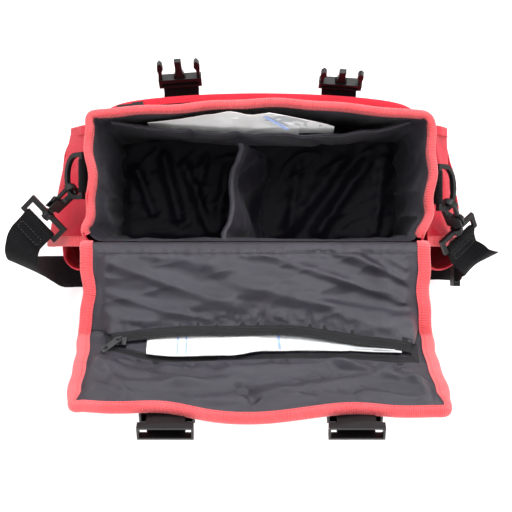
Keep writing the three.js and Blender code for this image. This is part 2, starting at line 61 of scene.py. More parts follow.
def bell(t):
    return np.exp(-np.asarray(t, float) ** 2)


def chaikin(p, times):
    """Corners cut off, times over."""
    p = np.asarray(p, float)
    for _ in range(times):
        q = np.empty((2 * len(p), p.shape[1]))
        q[0], q[-1] = p[0], p[-1]
        q[1:-1:2] = 0.75 * p[:-1] + 0.25 * p[1:]
        q[2:-1:2] = 0.25 * p[:-1] + 0.75 * p[1:]
        p = q
    return p


def lengths(p):
    return np.r_[0, np.cumsum(np.linalg.norm(np.diff(p, axis=0), axis=1))]


def sample(t, s, p):
    """The rows of p, known at lengths s, at lengths t."""
    return np.stack([np.interp(t, s, p[:, k]) for k in range(p.shape[1])], 1)


def resample(p, count):
    p = np.asarray(p, float)
    s = lengths(p)
    return sample(np.linspace(0, s[-1], count), s, p)


def curve(knots, times, count):
    """Knots rounded into a curve of evenly spaced points."""
    return resample(chaikin(knots, times), count)


def corner_curve(a, p, b, ts):
    """From a to b, round the corner p."""
    return [(1 - t) ** 2 * a + 2 * t * (1 - t) * p + t**2 * b for t in ts]


def tangents(path):
    return unit(np.gradient(np.asarray(path, float), axis=0))


def points(*axes):
    """Points from x, y and z, each a number or an array, spread over one grid."""
    return np.stack(np.broadcast_arrays(*axes), -1)


def row(count, low=0):
    """Steps from low to 1 along a grid's columns."""
    return np.linspace(low, 1, count)[None, :]


def column(count):
    """Steps from 0 to 1 down a grid's rows."""
    return np.linspace(0, 1, count)[:, None]


def catmull(knots, per):
    """Points on a centripetal Catmull-Rom curve, per steps on each span."""
    p = np.asarray(knots, float)
    p = np.vstack([2 * p[0] - p[1], p, 2 * p[-1] - p[-2]])
    out = []
    for i in range(1, len(p) - 2):
        a, b, c, d = p[i - 1 : i + 3]
        d0, d1, d2 = (max(np.linalg.norm(y - x), 1e-6) ** 0.5 for x, y in ((a, b), (b, c), (c, d)))
        m1 = ((b - a) / d0 - (c - a) / (d0 + d1) + (c - b) / d1) * d1
        m2 = ((c - b) / d1 - (d - b) / (d1 + d2) + (d - c) / d2) * d1
        for k in range(per):
            t = k / per
            out.append(b + m1 * t + (3 * (c - b) - 2 * m1 - m2) * t**2 + (2 * (b - c) + m1 + m2) * t**3)
    out.append(p[-2])
    return np.array(out)


def field(p, size, seed, octaves=3):
    """Soft noise, about -1 to 1, of a given size in mm (one number, or one for each axis)."""
    q = np.asarray(p, float) / np.asarray(size, float)
    flat = q.reshape(-1, 3)
    at = Vector((seed * 7.3, seed * 3.1, seed * 1.7))
    out = [noise.fractal(Vector(v) + at, 0.9, 2.1, octaves) for v in flat]
    return np.array(out).reshape(q.shape[:-1])


def creases(p, size, seed, sharp=3):
    """Narrow ridges, 0 to 1, as crumpled nylon has."""
    q = np.asarray(p, float) / np.asarray(size, float)
    flat = q.reshape(-1, 3)
    at = Vector((seed * 5.9, seed * 2.3, seed * 4.1))
    out = [1 - min(1, 2.2 * abs(noise.noise(Vector(v) + at))) for v in flat]
    return (np.array(out) ** sharp).reshape(q.shape[:-1])


def turned(p, degrees):
    """Points turned about Z, to run a noise along a diagonal."""
    c, s = math.cos(math.radians(degrees)), math.sin(math.radians(degrees))
    p = np.asarray(p, float)
    return points(p[..., 0] * c + p[..., 1] * s, -p[..., 0] * s + p[..., 1] * c, p[..., 2])


def ridge_lines(x, y, rows):
    """The sum of long soft folds, each (x0, y0, x1, y1, width, height), that fade at their ends."""
    total = np.zeros_like(x)
    for x0, y0, x1, y1, width, height in rows:
        dx, dy = x1 - x0, y1 - y0
        size = math.hypot(dx, dy)
        along = ((x - x0) * dx + (y - y0) * dy) / size**2
        across = ((x - x0) * dy - (y - y0) * dx) / size
        total += height * bell(across / width) * smooth(along * 4 + 0.5) * smooth((1 - along) * 4 + 0.5)
    return total


# ---------------------------------------------------------------- mesh makers
def link(name, verts, faces, mat, uvs=None, sharp=50):
    mesh = bpy.data.meshes.new(name)
    mesh.from_pydata((np.asarray(verts, float) * MM).tolist(), [], faces)
    mesh.polygons.foreach_set("use_smooth", [True] * len(mesh.polygons))
    if uvs is not None:
        layer = mesh.uv_layers.new(name="UVMap")
        layer.data.foreach_set("uv", np.asarray(uvs, np.float32).ravel())
    mesh.set_sharp_from_angle(angle=math.radians(sharp))
    mesh.materials.append(mat)
    obj = bpy.data.objects.new(name, mesh)
    bpy.context.scene.collection.objects.link(obj)
    return obj


def vertex_normals(p, closed):
    if closed:
        du = np.roll(p, -1, 1) - np.roll(p, 1, 1)
    else:
        du = np.gradient(p, axis=1)
    dv = np.gradient(p, axis=0)
    return unit(np.cross(du, dv))


def grid(name, p, mat, closed=False, thick=0.0, caps=False, sharp=50):
    """A quad sheet through p[row][column]; thick gives it a second side and a rim. UVs are in metres."""
    p = np.asarray(p, float)
    m, n = p.shape[:2]
    ring = np.concatenate([p, p[:, :1]], 1) if closed else p
    u = np.r_[0, np.cumsum(np.linalg.norm(np.diff(ring, axis=1), axis=2).mean(0))] * MM
    v = np.r_[0, np.cumsum(np.linalg.norm(np.diff(p, axis=0), axis=2).mean(1))] * MM
    i, j = np.meshgrid(np.arange(m - 1), np.arange(n if closed else n - 1), indexing="ij")
    i, j = i.ravel(), j.ravel()
    k = (j + 1) % n
    quads = np.stack([i * n + j, i * n + k, (i + 1) * n + k, (i + 1) * n + j], 1)
    uv = np.stack([points(u[j + a], v[i + b]) for a, b in ((0, 0), (1, 0), (1, 1), (0, 1))], 1)
    verts, faces, uvs = [p.reshape(-1, 3)], [quads], [uv]
    if thick:
        inner = p - thick * vertex_normals(p, closed)
        verts.append(inner.reshape(-1, 3))
        faces.append(quads[:, ::-1] + m * n)
        uvs.append(uv[:, ::-1])
        rims = [np.arange(n), (m - 1) * n + np.arange(n)[::-1]]
        if not closed:
            rims += [np.arange(m)[::-1] * n, np.arange(m) * n + n - 1]
        for rim in rims:
            a, b = rim[:-1], rim[1:]
            if closed:
                a, b = rim, np.roll(rim, -1)
            faces.append(np.stack([b, a, a + m * n, b + m * n], 1))
            uvs.append(np.zeros((len(a), 4, 2)))
    all_faces = [f for part in faces for f in part.tolist()]
    all_uv = np.concatenate([x.reshape(-1, 2) for x in uvs])
    if caps:
        all_faces += [list(range(n))[::-1], [(m - 1) * n + q for q in range(n)]]
        all_uv = np.concatenate([all_uv, np.zeros((2 * n, 2))])
    return link(name, np.concatenate(verts), all_faces, mat, all_uv, sharp)


def sweep(name, centres, across, normals, section, mat, sharp=60, scale=None):
    """A closed section of (across, up) points carried along a path, with its ends closed."""
    c, a, n = (np.asarray(x, float) for x in (centres, across, normals))
    sec = np.asarray(section, float)
    k = np.ones(len(c)) if scale is None else scale
    p = c[:, None] + k[:, None, None] * a[:, None] * sec[None, :, :1] + n[:, None] * sec[None, :, 1:]
    return grid(name, p[:, ::-1], mat, closed=True, caps=True, sharp=sharp)


def band(width, thick, crown=0.0, steps=8):
    """The section of webbing or tape: flat with rounded edges."""
    h, r = width / 2, thick / 2
    xs = np.linspace(-(h - r), h - r, steps)
    lift = crown * (1 - (xs / h) ** 2)
    top = [(x, r + y) for x, y in zip(xs, lift)]
    bottom = [(x, -r + y) for x, y in zip(xs[::-1], lift[::-1])]
    right = [(h - 0.3 * r, 0.7 * r), (h, 0), (h - 0.3 * r, -0.7 * r)]
    left = [(-h + 0.3 * r, -0.7 * r), (-h, 0), (-h + 0.3 * r, 0.7 * r)]
    return top + right + bottom + left


def frames(path, up):
    """Unit tangents, sideways vectors and squared-up normals along a path."""
    tangent = tangents(path)
    side = unit(np.cross(tangent, up))
    return tangent, side, unit(np.cross(side, tangent))


def repeat(name, template, faces, centres, x, y, z, mat, sharp=40):
    """Many small copies of one form, each at a centre with its own three axes."""
    t = np.asarray(template, float)
    p = centres[:, None] + sum(t[None, :, k : k + 1] * axis[:, None] for k, axis in enumerate((x, y, z)))
    made = [[v + k * len(t) for v in f] for k in range(len(centres)) for f in faces]
    return link(name, p.reshape(-1, 3), made, mat, None, sharp)


def capsule(length, radius, sides=6):
    """A short thread or tooth along x, and its faces."""
    rings = [(-0.5, 0.15), (-0.36, 0.9), (0, 1.0), (0.36, 0.9), (0.5, 0.15)]
    round_x = [(math.cos(a), math.sin(a)) for a in (2 * math.pi * k / sides for k in range(sides))]
    verts = [(length * a, radius * b * c, radius * b * s) for a, b in rings for c, s in round_x]
    faces = []
    for r in range(len(rings) - 1):
        low, high = r * sides, (r + 1) * sides
        for k, n in ((k, (k + 1) % sides) for k in range(sides)):
            faces.append([low + k, low + n, high + n, high + k])
    faces += [list(range(sides))[::-1], [(len(rings) - 1) * sides + k for k in range(sides)]]
    return verts, faces


def stitches(name, lines, mat, pitch=3.4, length=2.5, radius=0.32):
    """Rows of thread: each line is (path, up vectors)."""
    centres, xs, ys, zs = [], [], [], []
    for path, up in lines:
        path = np.asarray(path, float)
        up = np.broadcast_to(np.asarray(up, float), path.shape)
        s = lengths(path)
        count = max(2, int(s[-1] / pitch))
        t = (np.arange(count) + 0.5) * s[-1] / count
        tangent = unit(sample(t, s, np.gradient(path, axis=0)))
        side = unit(np.cross(tangent, sample(t, s, up)))
        centres.append(sample(t, s, path))
        xs.append(tangent)
        ys.append(side)
        zs.append(np.cross(side, tangent))
    verts, faces = capsule(length, radius)
    made = [np.concatenate(v) for v in (centres, xs, ys, zs)]
    return repeat(name, verts, faces, *made, mat, sharp=80)


# ---------------------------------------------------------------- materials
class Shader:
    def __init__(self, name, rough, **sockets):
        self.mat = bpy.data.materials.new(name)
        self.mat.use_nodes = True
        self.tree = self.mat.node_tree
        self.bsdf = self.tree.nodes["Principled BSDF"]
        self.bsdf.inputs["Roughness"].default_value = rough
        for key, value in sockets.items():
            self.bsdf.inputs[key.replace("_", " ")].default_value = value
        self.coord = self.tree.nodes.new("ShaderNodeTexCoord")
        self.height = None

    def node(self, kind, links=(), **values):
        made = self.tree.nodes.new(kind)
        for key, value in values.items():
            setattr(made, key, value)
        for slot, source in links:
            if isinstance(source, (int, float, tuple)):
                made.inputs[slot].default_value = source
            else:
                self.tree.links.new(source, made.inputs[slot])
        return made

    def math(self, operation, a, b=0.0):
        return self.node("ShaderNodeMath", [(0, a), (1, b)], operation=operation).outputs[0]

    def where(self, space, scale=(1, 1, 1)):
        links = [("Vector", self.coord.outputs[space]), ("Scale", tuple(float(s) for s in scale))]
        return self.node("ShaderNodeMapping", links).outputs[0]

    def wave(self, space, axis, pitch):
        split = self.node("ShaderNodeSeparateXYZ", [(0, self.where(space))])
        return self.math("SINE", self.math("MULTIPLY", split.outputs[axis], 2 * math.pi / pitch))

    def noise(self, space, scale, detail=4.0, rough=0.55, stretch=(1, 1, 1)):
        links = [
            ("Vector", self.where(space, stretch)), ("Scale", float(scale)), ("Detail", float(detail)),
            ("Roughness", rough)
        ]
        return self.node("ShaderNodeTexNoise", links).outputs[0]

    def ramp(self, value, stops):
        made = self.node("ShaderNodeValToRGB", [(0, value)])
        ramp = made.color_ramp
        while len(ramp.elements) < len(stops):
            ramp.elements.new(0.5)
        for element, (at, colour) in zip(ramp.elements, stops):
            element.position, element.color = at, (*colour, 1)
        return made.outputs[0]

    def colour(self, value):
        self.tree.links.new(value, self.bsdf.inputs["Base Color"])

    def rough(self, value, low, high):
        spread = self.node("ShaderNodeMapRange", [("Value", value), ("To Min", low), ("To Max", high)])
        self.tree.links.new(spread.outputs[0], self.bsdf.inputs["Roughness"])

    def bump(self, value, distance, strength=1.0):
        links = [("Height", value), ("Distance", distance), ("Strength", strength)]
        if self.height is not None:
            links.append(("Normal", self.height))
        self.height = self.node("ShaderNodeBump", links).outputs[0]
        self.tree.links.new(self.height, self.bsdf.inputs["Normal"])


def woven(name, dark, light, rough, pitch, relief, crease, crease_scale, **sockets):
    """Plain-weave cloth: crossing threads, uneven dye, and fine creasing."""
    s = Shader(name, rough, **sockets)
    weave = s.math("MULTIPLY", s.wave("UV", 0, pitch), s.wave("UV", 1, pitch))
    blotch = s.noise("Object", 22, 5)
    tone = s.math("ADD", s.math("MULTIPLY", weave, 0.16), blotch)
    s.colour(s.ramp(tone, [(0.25, dark), (0.75, light)]))
    s.rough(blotch, rough - 0.07, rough + 0.09)
    s.bump(s.noise("Object", crease_scale, 6, 0.62, (1, 1, 1.6)), crease)
    s.bump(weave, relief, 0.7)
    return s.mat


def ribbed(name, dark, light, rough, pitch, relief, cross=0.0, **sockets):
    """Narrow-woven tape: ribs across its length, thread ends along its edges."""
    s = Shader(name, rough, **sockets)
    ribs = s.wave("UV", 1, pitch)
    warp = s.wave("UV", 0, cross or pitch * 0.6)
    weave = s.math("ADD", ribs, s.math("MULTIPLY", warp, 0.45 if cross else 0.15))
    wear = s.noise("Object", 30, 5)
    tone = s.math("ADD", s.math("MULTIPLY", weave, 0.1), wear)
    s.colour(s.ramp(tone, [(0.28, dark), (0.72, light)]))
    s.rough(wear, rough - 0.06, rough + 0.1)
    s.bump(s.noise("Object", 420, 3), 0.00012, 0.6)
    s.bump(weave, relief, 0.8)
    return s.mat


def moulded(name, base, light, rough, **sockets):
    """Moulded plastic: fine spark-eroded grain, faint scuffs and flow marks."""
    s = Shader(name, rough, **sockets)
    scuff = s.noise("Object", 45, 7, 0.7, (1, 3, 1))
    s.colour(s.ramp(scuff, [(0.35, base), (0.8, light)]))
    s.rough(scuff, rough - 0.07, rough + 0.14)
    s.bump(s.noise("Object", 1500, 2), 0.00003, 0.5)
    s.bump(s.noise("Object", 60, 3), 0.00018, 0.5)
    return s.mat


def plain(name, dark, light, rough, scale, relief):
    """Thread, paper or film: a little uneven in tone and surface."""
    s = Shader(name, rough)
    tone = s.noise("Object", scale, 6)
    s.colour(s.ramp(tone, [(0.3, dark), (0.7, light)]))
    s.rough(tone, rough - 0.05, rough + 0.08)
    s.bump(tone, relief, 0.6)
    return s.mat


red_cloth = woven(
    "red_cloth", (0.50, 0.007, 0.022), (0.65, 0.014, 0.038), 0.62, 0.0009, 0.00022, crease=0.0012,
    crease_scale=34, Sheen_Weight=0.10, Sheen_Roughness=0.45, Specular_IOR_Level=0.32
)
red_binding = ribbed(
    "red_binding", (0.74, 0.055, 0.066), (0.88, 0.095, 0.108), 0.74, 0.0016, 0.0005, Sheen_Weight=0.3,
    Sheen_Roughness=0.5
)
red_thread = plain("red_thread", (0.55, 0.02, 0.025), (0.75, 0.05, 0.06), 0.6, 300, 0.0001)
lining = woven(
    "black_lining", (0.0140, 0.0122, 0.0200), (0.0270, 0.0238, 0.0370), 0.31, 0.0006, 0.00008, crease=0.0015,
    crease_scale=26, Sheen_Weight=0.12, Sheen_Roughness=0.35
)
webbing = ribbed(
    "black_webbing", (0.0022, 0.0021, 0.0028), (0.0052, 0.005, 0.0062), 0.72, 0.0019, 0.00045, cross=0.0042,
    Specular_IOR_Level=0.13
)
zip_cloth = ribbed(
    "zip_cloth", (0.007, 0.007, 0.008), (0.017, 0.016, 0.019), 0.6, 0.0010, 0.0002, cross=0.0016,
    Specular_IOR_Level=0.3
)
plastic = moulded(
    "black_plastic", (0.0050, 0.0050, 0.0056), (0.011, 0.011, 0.012), 0.36, Specular_IOR_Level=0.24
)
black_thread = plain("black_thread", (0.012, 0.012, 0.014), (0.04, 0.04, 0.045), 0.5, 300, 0.0001)
coil = moulded("zip_coil", (0.008, 0.008, 0.009), (0.022, 0.022, 0.026), 0.3, Specular_IOR_Level=0.45)
paper = plain("packet_paper", (0.80, 0.80, 0.79), (0.92, 0.92, 0.92), 0.38, 30, 0.0007)
pale_blue = plain("packet_blue", (0.30, 0.42, 0.78), (0.42, 0.54, 0.86), 0.4, 60, 0.0003)
pale_grey = plain("packet_grey", (0.52, 0.54, 0.56), (0.66, 0.67, 0.68), 0.45, 60, 0.0003)


def put(obj, body, replaces=(), blend=None):
    """Hangs a finished piece on its body; a piece given a blend only has its transform baked, and hangs on no
    body.
    """
    if blend:
        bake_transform(obj)
    else:
        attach(obj, body)
    if replaces:
        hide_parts(*replaces)
    return obj


def sew(name, lines, mat, body="bag", slot="red_binding", blend=None, **size):
    put(stitches(name, lines, mat, **size), body, (), blend)


def cloth(p):
    """Scales a sheet's points to metres, and keeps nothing."""
    p = np.asarray(p, float) * MM


# ---------------------------------------------------------------- the bag's plan
HALF, BACK, FRONT, BULGE, TOP = 175.0, -70.0, 66.0, 12.5, 230.0
FRONT_R = (HALF**2 + BULGE**2) / (2 * BULGE)
FRONT_C = FRONT + BULGE - FRONT_R
MIDDLE = np.array([0, 4, 0])


def front_y(x, offset=0.0):
    return FRONT_C + np.sqrt((FRONT_R + offset) ** 2 - np.asarray(x, float) ** 2)


def outline(offset, corner=9.0, count=260):
    """The plan at an offset from the outer face, from the back's middle round by the right side."""
    h = HALF + offset
    arc = [(x, float(front_y(x, offset))) for x in np.linspace(h, -h, 41)]
    poly = [(0, BACK - offset), (h, BACK - offset), *arc, (-h, BACK - offset), (0, BACK - offset)]
    marks = {1, 2, len(poly) - 3, len(poly) - 2}
    out = []
    for i, p in enumerate(poly):
        p = np.array(p, float)
        if i not in marks:
            out.append(p)
            continue
        before, after = np.array(poly[i - 1], float), np.array(poly[i + 1], float)
        a = p + unit(before - p) * min(corner, 0.9 * np.linalg.norm(before - p))
        b = p + unit(after - p) * min(corner, 0.9 * np.linalg.norm(after - p))
        out += corner_curve(a, p, b, np.linspace(0, 1, 7))
    return resample(np.array(out), count + 1)[:-1]


def warp(p):
    """How the used bag's soft walls stand: pulled in at the lid's right end, puckered at its left end."""
    p = np.array(p, float)
    x, y, z = p[..., 0], p[..., 1], p[..., 2]
    high = smooth((z - 90) / 130)
    pull = 10 * smooth((-30 - y) / 30) * (x > 0) * smooth((x - 120) / 40)
    pucker = (4.5 * bell((y + 66) / 8) - 4 * bell((y + 51) / 9)) * smooth((-x - 130) / 30)
    side = smooth((np.abs(x) - 120) / 45)
    wave = side * (1.6 * np.sin(y / 17 + np.where(x > 0, 0.4, 2.0)) + 1.2 * np.sin(y / 7.3 + 1))
    p[..., 0] = x + high * (pucker - pull + wave)
    front = smooth((y - 20) / 40)
    p[..., 1] = y + high * front * (1.3 * np.sin(x / 31 + 1) + 0.6 * np.sin(x / 11))
    return p


# ---------------------------------------------------------------- camera
camera_data = bpy.data.cameras.new("camera")
camera_data.lens = 70.3
camera_data.sensor_width = 36
camera_data.clip_end = 20
camera = bpy.data.objects.new("camera", camera_data)
camera.location = (-0.0046, -0.078, 1.231)
bpy.context.scene.collection.objects.link(camera)
bpy.context.scene.camera = camera


# ---------------------------------------------------------------- the bag's shell
PIPE = [(1.5 * math.cos(a), 1.5 * math.sin(a)) for a in np.linspace(0, 2 * math.pi, 9)[:-1]]


def wall_rows(offset, heights, count=260, sag=2.0, seed=1):
    """The wall's rows at each height: a soft padded side that dips a little between its corners."""
    rows = []
    for z in heights:
        rows.append(np.c_[outline(offset, count=count), np.full(count, z)])
    p = np.array(rows)
    out = p - MIDDLE
    out[..., 2] = 0
    depth = sag * np.sin(np.clip(p[..., 2] / TOP, 0, 1) * math.pi) * (0.5 + 0.5 * field(p, 90, seed, 2))
    return warp(p - unit(out) * depth[..., None])


def make_shell():
    base = [(-30, 0.15), (-9, 0.2), (-4.5, 0.7), (-1.6, 2.6), (0, 6)]
    heights = [6 + 218 * t for t in np.linspace(0.03, 1, 34)]
    top = [(0, 227), (-0.6, 229.2), (-2.4, 230)]
    rows = [wall_rows(o, [z], sag=0)[0] for o, z in base]
    rows += list(wall_rows(0, heights))
    rows += [wall_rows(o, [z], sag=0)[0] for o, z in top]
    rows = np.array(rows)
    wrinkle = 0.7 * creases(rows, (60, 60, 34), 2) - 0.35
    fade = smooth((rows[..., 2] - 6) / 30)
    rows += vertex_normals(rows, True) * (wrinkle * fade)[..., None]
    shell = grid("bag_shell", rows, red_cloth, closed=True)
    panels = ["base_panel", "back_panel", "front_panel", "side_panel_left", "side_panel_right"]
    put(shell, "bag", panels)
    lo, hi = outline(-30).min(0), outline(-30).max(0)
    gx, gy = np.meshgrid(np.linspace(lo[0] - 22, hi[0] + 22, 60), np.linspace(lo[1] - 22, hi[1] + 22, 26))
    under = points(gx, np.minimum(gy, front_y(np.clip(gx, -150, 150)) - 8), 1.2)
    put(grid("bag_base", under[::-1], red_cloth, thick=-1.0), "bag")
    # piping round the base and stitched seams up the four corners
    path = np.c_[outline(0.3), np.full(260, 6.0)]
    path = np.vstack([path, path[:1]])
    _, side, up = frames(path, (0, 0, 1))
    put(sweep("base_piping", path, side, up, PIPE, red_binding), "bag")
    lines = []
    for x, y in ((-HALF, BACK), (HALF, BACK), (-HALF, FRONT), (HALF, FRONT)):
        sx, sy = np.sign(x), (1 if y > 0 else -1)
        for dx, dy, up in ((-13, 0, (0, sy, 0)), (0, -13, (sx, 0, 0))):
            z = np.linspace(12, 222, 40)
            px = x + sx * dx
            py = front_y(px) if dx and sy > 0 else y + sy * dy
            line = warp(points(px, py, z))
            lines.append((line + np.array(up) * 0.1, up))
    sew("corner_stitching", lines, red_thread)


def make_lining():
    """The nylon lining: four loose walls and a rucked floor."""
    heights = np.linspace(227, 12, 46)
    p = wall_rows(-6.9, heights, count=300, sag=0)
    low = smooth((225 - p[..., 2]) / 40)
    flat = p * np.array([1, 1, 0.28])
    folds = 4.2 * creases(flat, (34, 34, 60), 5, 2) + 2.2 * creases(turned(flat, 35), (22, 22, 30), 6, 2)
    lean = 3 * np.sin(np.clip((227 - p[..., 2]) / 215, 0, 1) * math.pi)
    sides = smooth((np.abs(p[..., 0]) - 140) / 20)
    normals = vertex_normals(p, True)
    out = np.sign((normals * (p - MIDDLE)).sum(-1, keepdims=True))
    move = (folds * (0.5 + 0.7 * sides) + lean) * low
    p = p - normals * out * move[..., None]
    walls = grid("lining_walls", p, lining, closed=True)
    put(walls, "bag", ["lining", "base_board"])
    cloth(np.concatenate([p, p[:, :1]], 1))
    x, y = np.meshgrid(np.linspace(-167.5, 167.5, 150), np.linspace(-62.5, 71, 64))
    y = np.minimum(y, front_y(x, -7.5))
    f = points(x, y, 0.0)
    edge = smooth((167.5 - np.abs(x)) / 14) * smooth((y + 62.5) / 12)
    folds = [
        (-118, 48, -96, -40, 8, 9), (-92, 36, -60, -52, 7, 7), (-66, 44, -78, -10, 6, 6),
        (-40, 30, -52, -50, 7, 7), (-150, 30, -128, -30, 6, 6), (120, 46, 46, -56, 11, -6),
        (134, 44, 66, -56, 8, 10), (108, 46, 30, -52, 9, 8), (48, 40, 36, -44, 7, 6), (150, 40, 140, -50, 6, 6)
    ]
    z = 10 + edge * (
        3 + ridge_lines(x, y, folds) + 3.2 * creases(turned(f, 25), (46, 20, 1), 8, 2) + 1.6 * field(f, 30, 9)
    )
    f[..., 2] = np.maximum(z, 9.2)
    floor = grid("lining_floor", f[::-1], lining)
    put(floor, "bag")
    cloth(f)


def binding_section(reach, half, depth, thick=1.3):
    """Tape folded over an edge: depth inwards along both faces, from an edge that reaches out."""
    outer = [
        (-depth, half + 0.25), (-0.35 * depth, half + 0.45), (reach - 2.6, half), (reach - 0.7, half * 0.62),
        (reach, 0)
    ]
    inner = [(x, max(y - thick, 0)) for x, y in outer[:-1]]
    inner[-1] = (reach - thick, 0)
    top = outer + [(x, -y) for x, y in outer[-2::-1]]
    under = [(x, -y) for x, y in inner[:-1]] + [inner[-1]] + inner[-2::-1]
    return top + under


def standing_binding(*sizes):
    """The same tape over an edge that stands up, so its reach is upwards."""
    return [(y, x) for x, y in binding_section(*sizes)]


def make_rim():
    """The ribbed tape round the mouth, from one end of the lid's seam to the other."""
    ring = outline(-3.2, count=400)
    start = int(np.argmax((ring[:, 0] > 165) & (ring[:, 1] > BACK + 9)))
    end = len(ring) - 1 - int(np.argmax((ring[::-1, 0] < -165) & (ring[::-1, 1] > BACK + 9)))
    path = np.c_[ring[start:end], np.full(end - start, 229.5)]
    path = warp(resample(path, 330))
    s = lengths(path)
    path[:, 2] += 0.9 * np.sin(s / 23) + 0.5 * np.sin(s / 9.1 + 1)
    path[:, 2] -= 3 * smooth((12 - s) / 12) + 3 * smooth((12 - (s[-1] - s)) / 12)
    _, out, up = frames(path, (0, 0, 1))
    rim = sweep("rim_tape", path, out, up, standing_binding(2.0, 3.7, 15, 1.1), red_binding)
    put(rim, "bag", ["rim_binding"])
    lines = [(path + out * 4.2 + up * -9.5, out), (path - out * 4.2 + up * -9.5, -out)]
    sew("rim_stitching", lines, red_thread)


def make_divider():
    """The limp padded divider, slumped to the left, with its top edge rolled over."""
    u, v = row(44), column(40)
    y = 40 - 100 * u
    lean = (-30 - 8 * u) * v**1.25
    x = 12 - 8 * u + lean
    z = 12 + 168 * v - 14 * np.sin(u * math.pi) * v
    mid = points(x, y, z)
    crumple = 8 * creases(turned(mid, 20), (70, 46, 60), 12, 1.5) - 4
    crumple += 5 * field(mid, (60, 60, 44), 13, 2) + 5 * np.sin(u * 7 + 2.5 * v)
    x = x + crumple * smooth(np.minimum(u, 1 - u) * 10 + 0.15)
    face = points(x, y + 2 * field(mid, 40, 15), z)
    r = 3.4  # half the pad's thickness
    roll = [face[-1] + np.array([r * math.cos(a) - r, 0, r * math.sin(a)]) for a in np.linspace(0, math.pi, 9)]
    back = face[::-1] - np.array([2 * r, 0, 0])
    loop = np.concatenate([face, roll[1:-1], back], 0)
    piece = grid("divider_pad", loop.transpose(1, 0, 2), lining, closed=True, caps=True)
    put(piece, "bag", ["divider"])
    line = (face[-1] + np.array([-0.2, 0, -4.4]), (1, 0, 0.2))
    sew("divider_stitching", [line], black_thread, slot="black_lining")


def make_slip_pocket():
    """The flat pocket on the front wall, its top edge hanging slack, with blank packets in it."""
    u, v = row(120, -1), column(34)
    x = 153 * u + 0 * v
    slack = 1 - np.abs(u) ** 2.4
    wall = front_y(x, -8.6)
    depth = (22 + 5 * u) * slack * smooth(v * 1.5 + 0.15)
    z = 34 + 176 * v - 6 * slack * v
    p = points(x, wall - 1.6 - depth, z)
    p[..., 1] += (3 * creases(p, (50, 50, 90), 21, 2) - 1.4 + 1.5 * field(p, 30, 22)) * slack
    pocket = grid("slip_pocket_cloth", p[:, ::-1], lining, thick=0.9)
    put(pocket, "bag", ["slip_pocket"])
    cloth(p)
    top = p[-1]
    _, side, up = frames(top, (0, 0, 1))
    hem = standing_binding(1.2, 1.3, 9, 0.7)
    put(sweep("slip_pocket_hem", top + np.array([0, 0.5, 0]), side, up, hem, lining), "bag")
    line = (top + np.array([0, -1.2, -7]), (0, -1, 0))
    sew("slip_pocket_stitching", [line], black_thread, slot="black_lining")
    # each packet's two ends, the x of its peak, how far it is lifted, and its material
    packets = ((-116, 40, -32, 0.0, paper), (-62, 76, 8, -3.0, paper), (-8, 70, 18, -6.0, pale_grey))
    for k, (x0, x1, peak, lift, mat) in enumerate(packets):
        t, w = row(50), column(12)
        px = x0 + (x1 - x0) * t + 0 * w
        rise = np.where(px < peak, (px - x0) / (peak - x0), (x1 - px) / (x1 - peak))
        rise = np.clip(rise, 0, 1) ** 0.8
        top_y = front_y(px, -9.5) - 1.0 + lift * 0.5
        low_y = front_y(px, -8.6) - 1.6 - (22 + 5 * px / 153) * (1 - np.abs(px / 153) ** 2.4) + 4.0 + 1.5 * k
        pz = 190 + (12 + 24 * rise) * w + lift * 0.3
        py = low_y + (top_y - low_y) * w * (0.35 + 0.65 * rise)
        q = points(px, py, pz)
        q[..., 2] += 1.6 * field(q, 16, 30 + k)
        q[..., 1] -= 0.8 * creases(q, 24, 33 + k, 3)
        put(grid(f"inner_packet_{k + 1}", q[:, ::-1], mat, thick=0.8), "bag")
    t, w = row(12), column(6)
    px = 2 + 5 * t + 23.4 * (1 - w)
    q = points(px, front_y(px, -9.5) - 17 + 11 * w, 206.5 + 13 * w)
    put(grid("inner_packet_stripe", q[:, ::-1], pale_blue, thick=0.3), "bag")


# ---------------------------------------------------------------- outside pockets
POCKET_REACH = 19.0


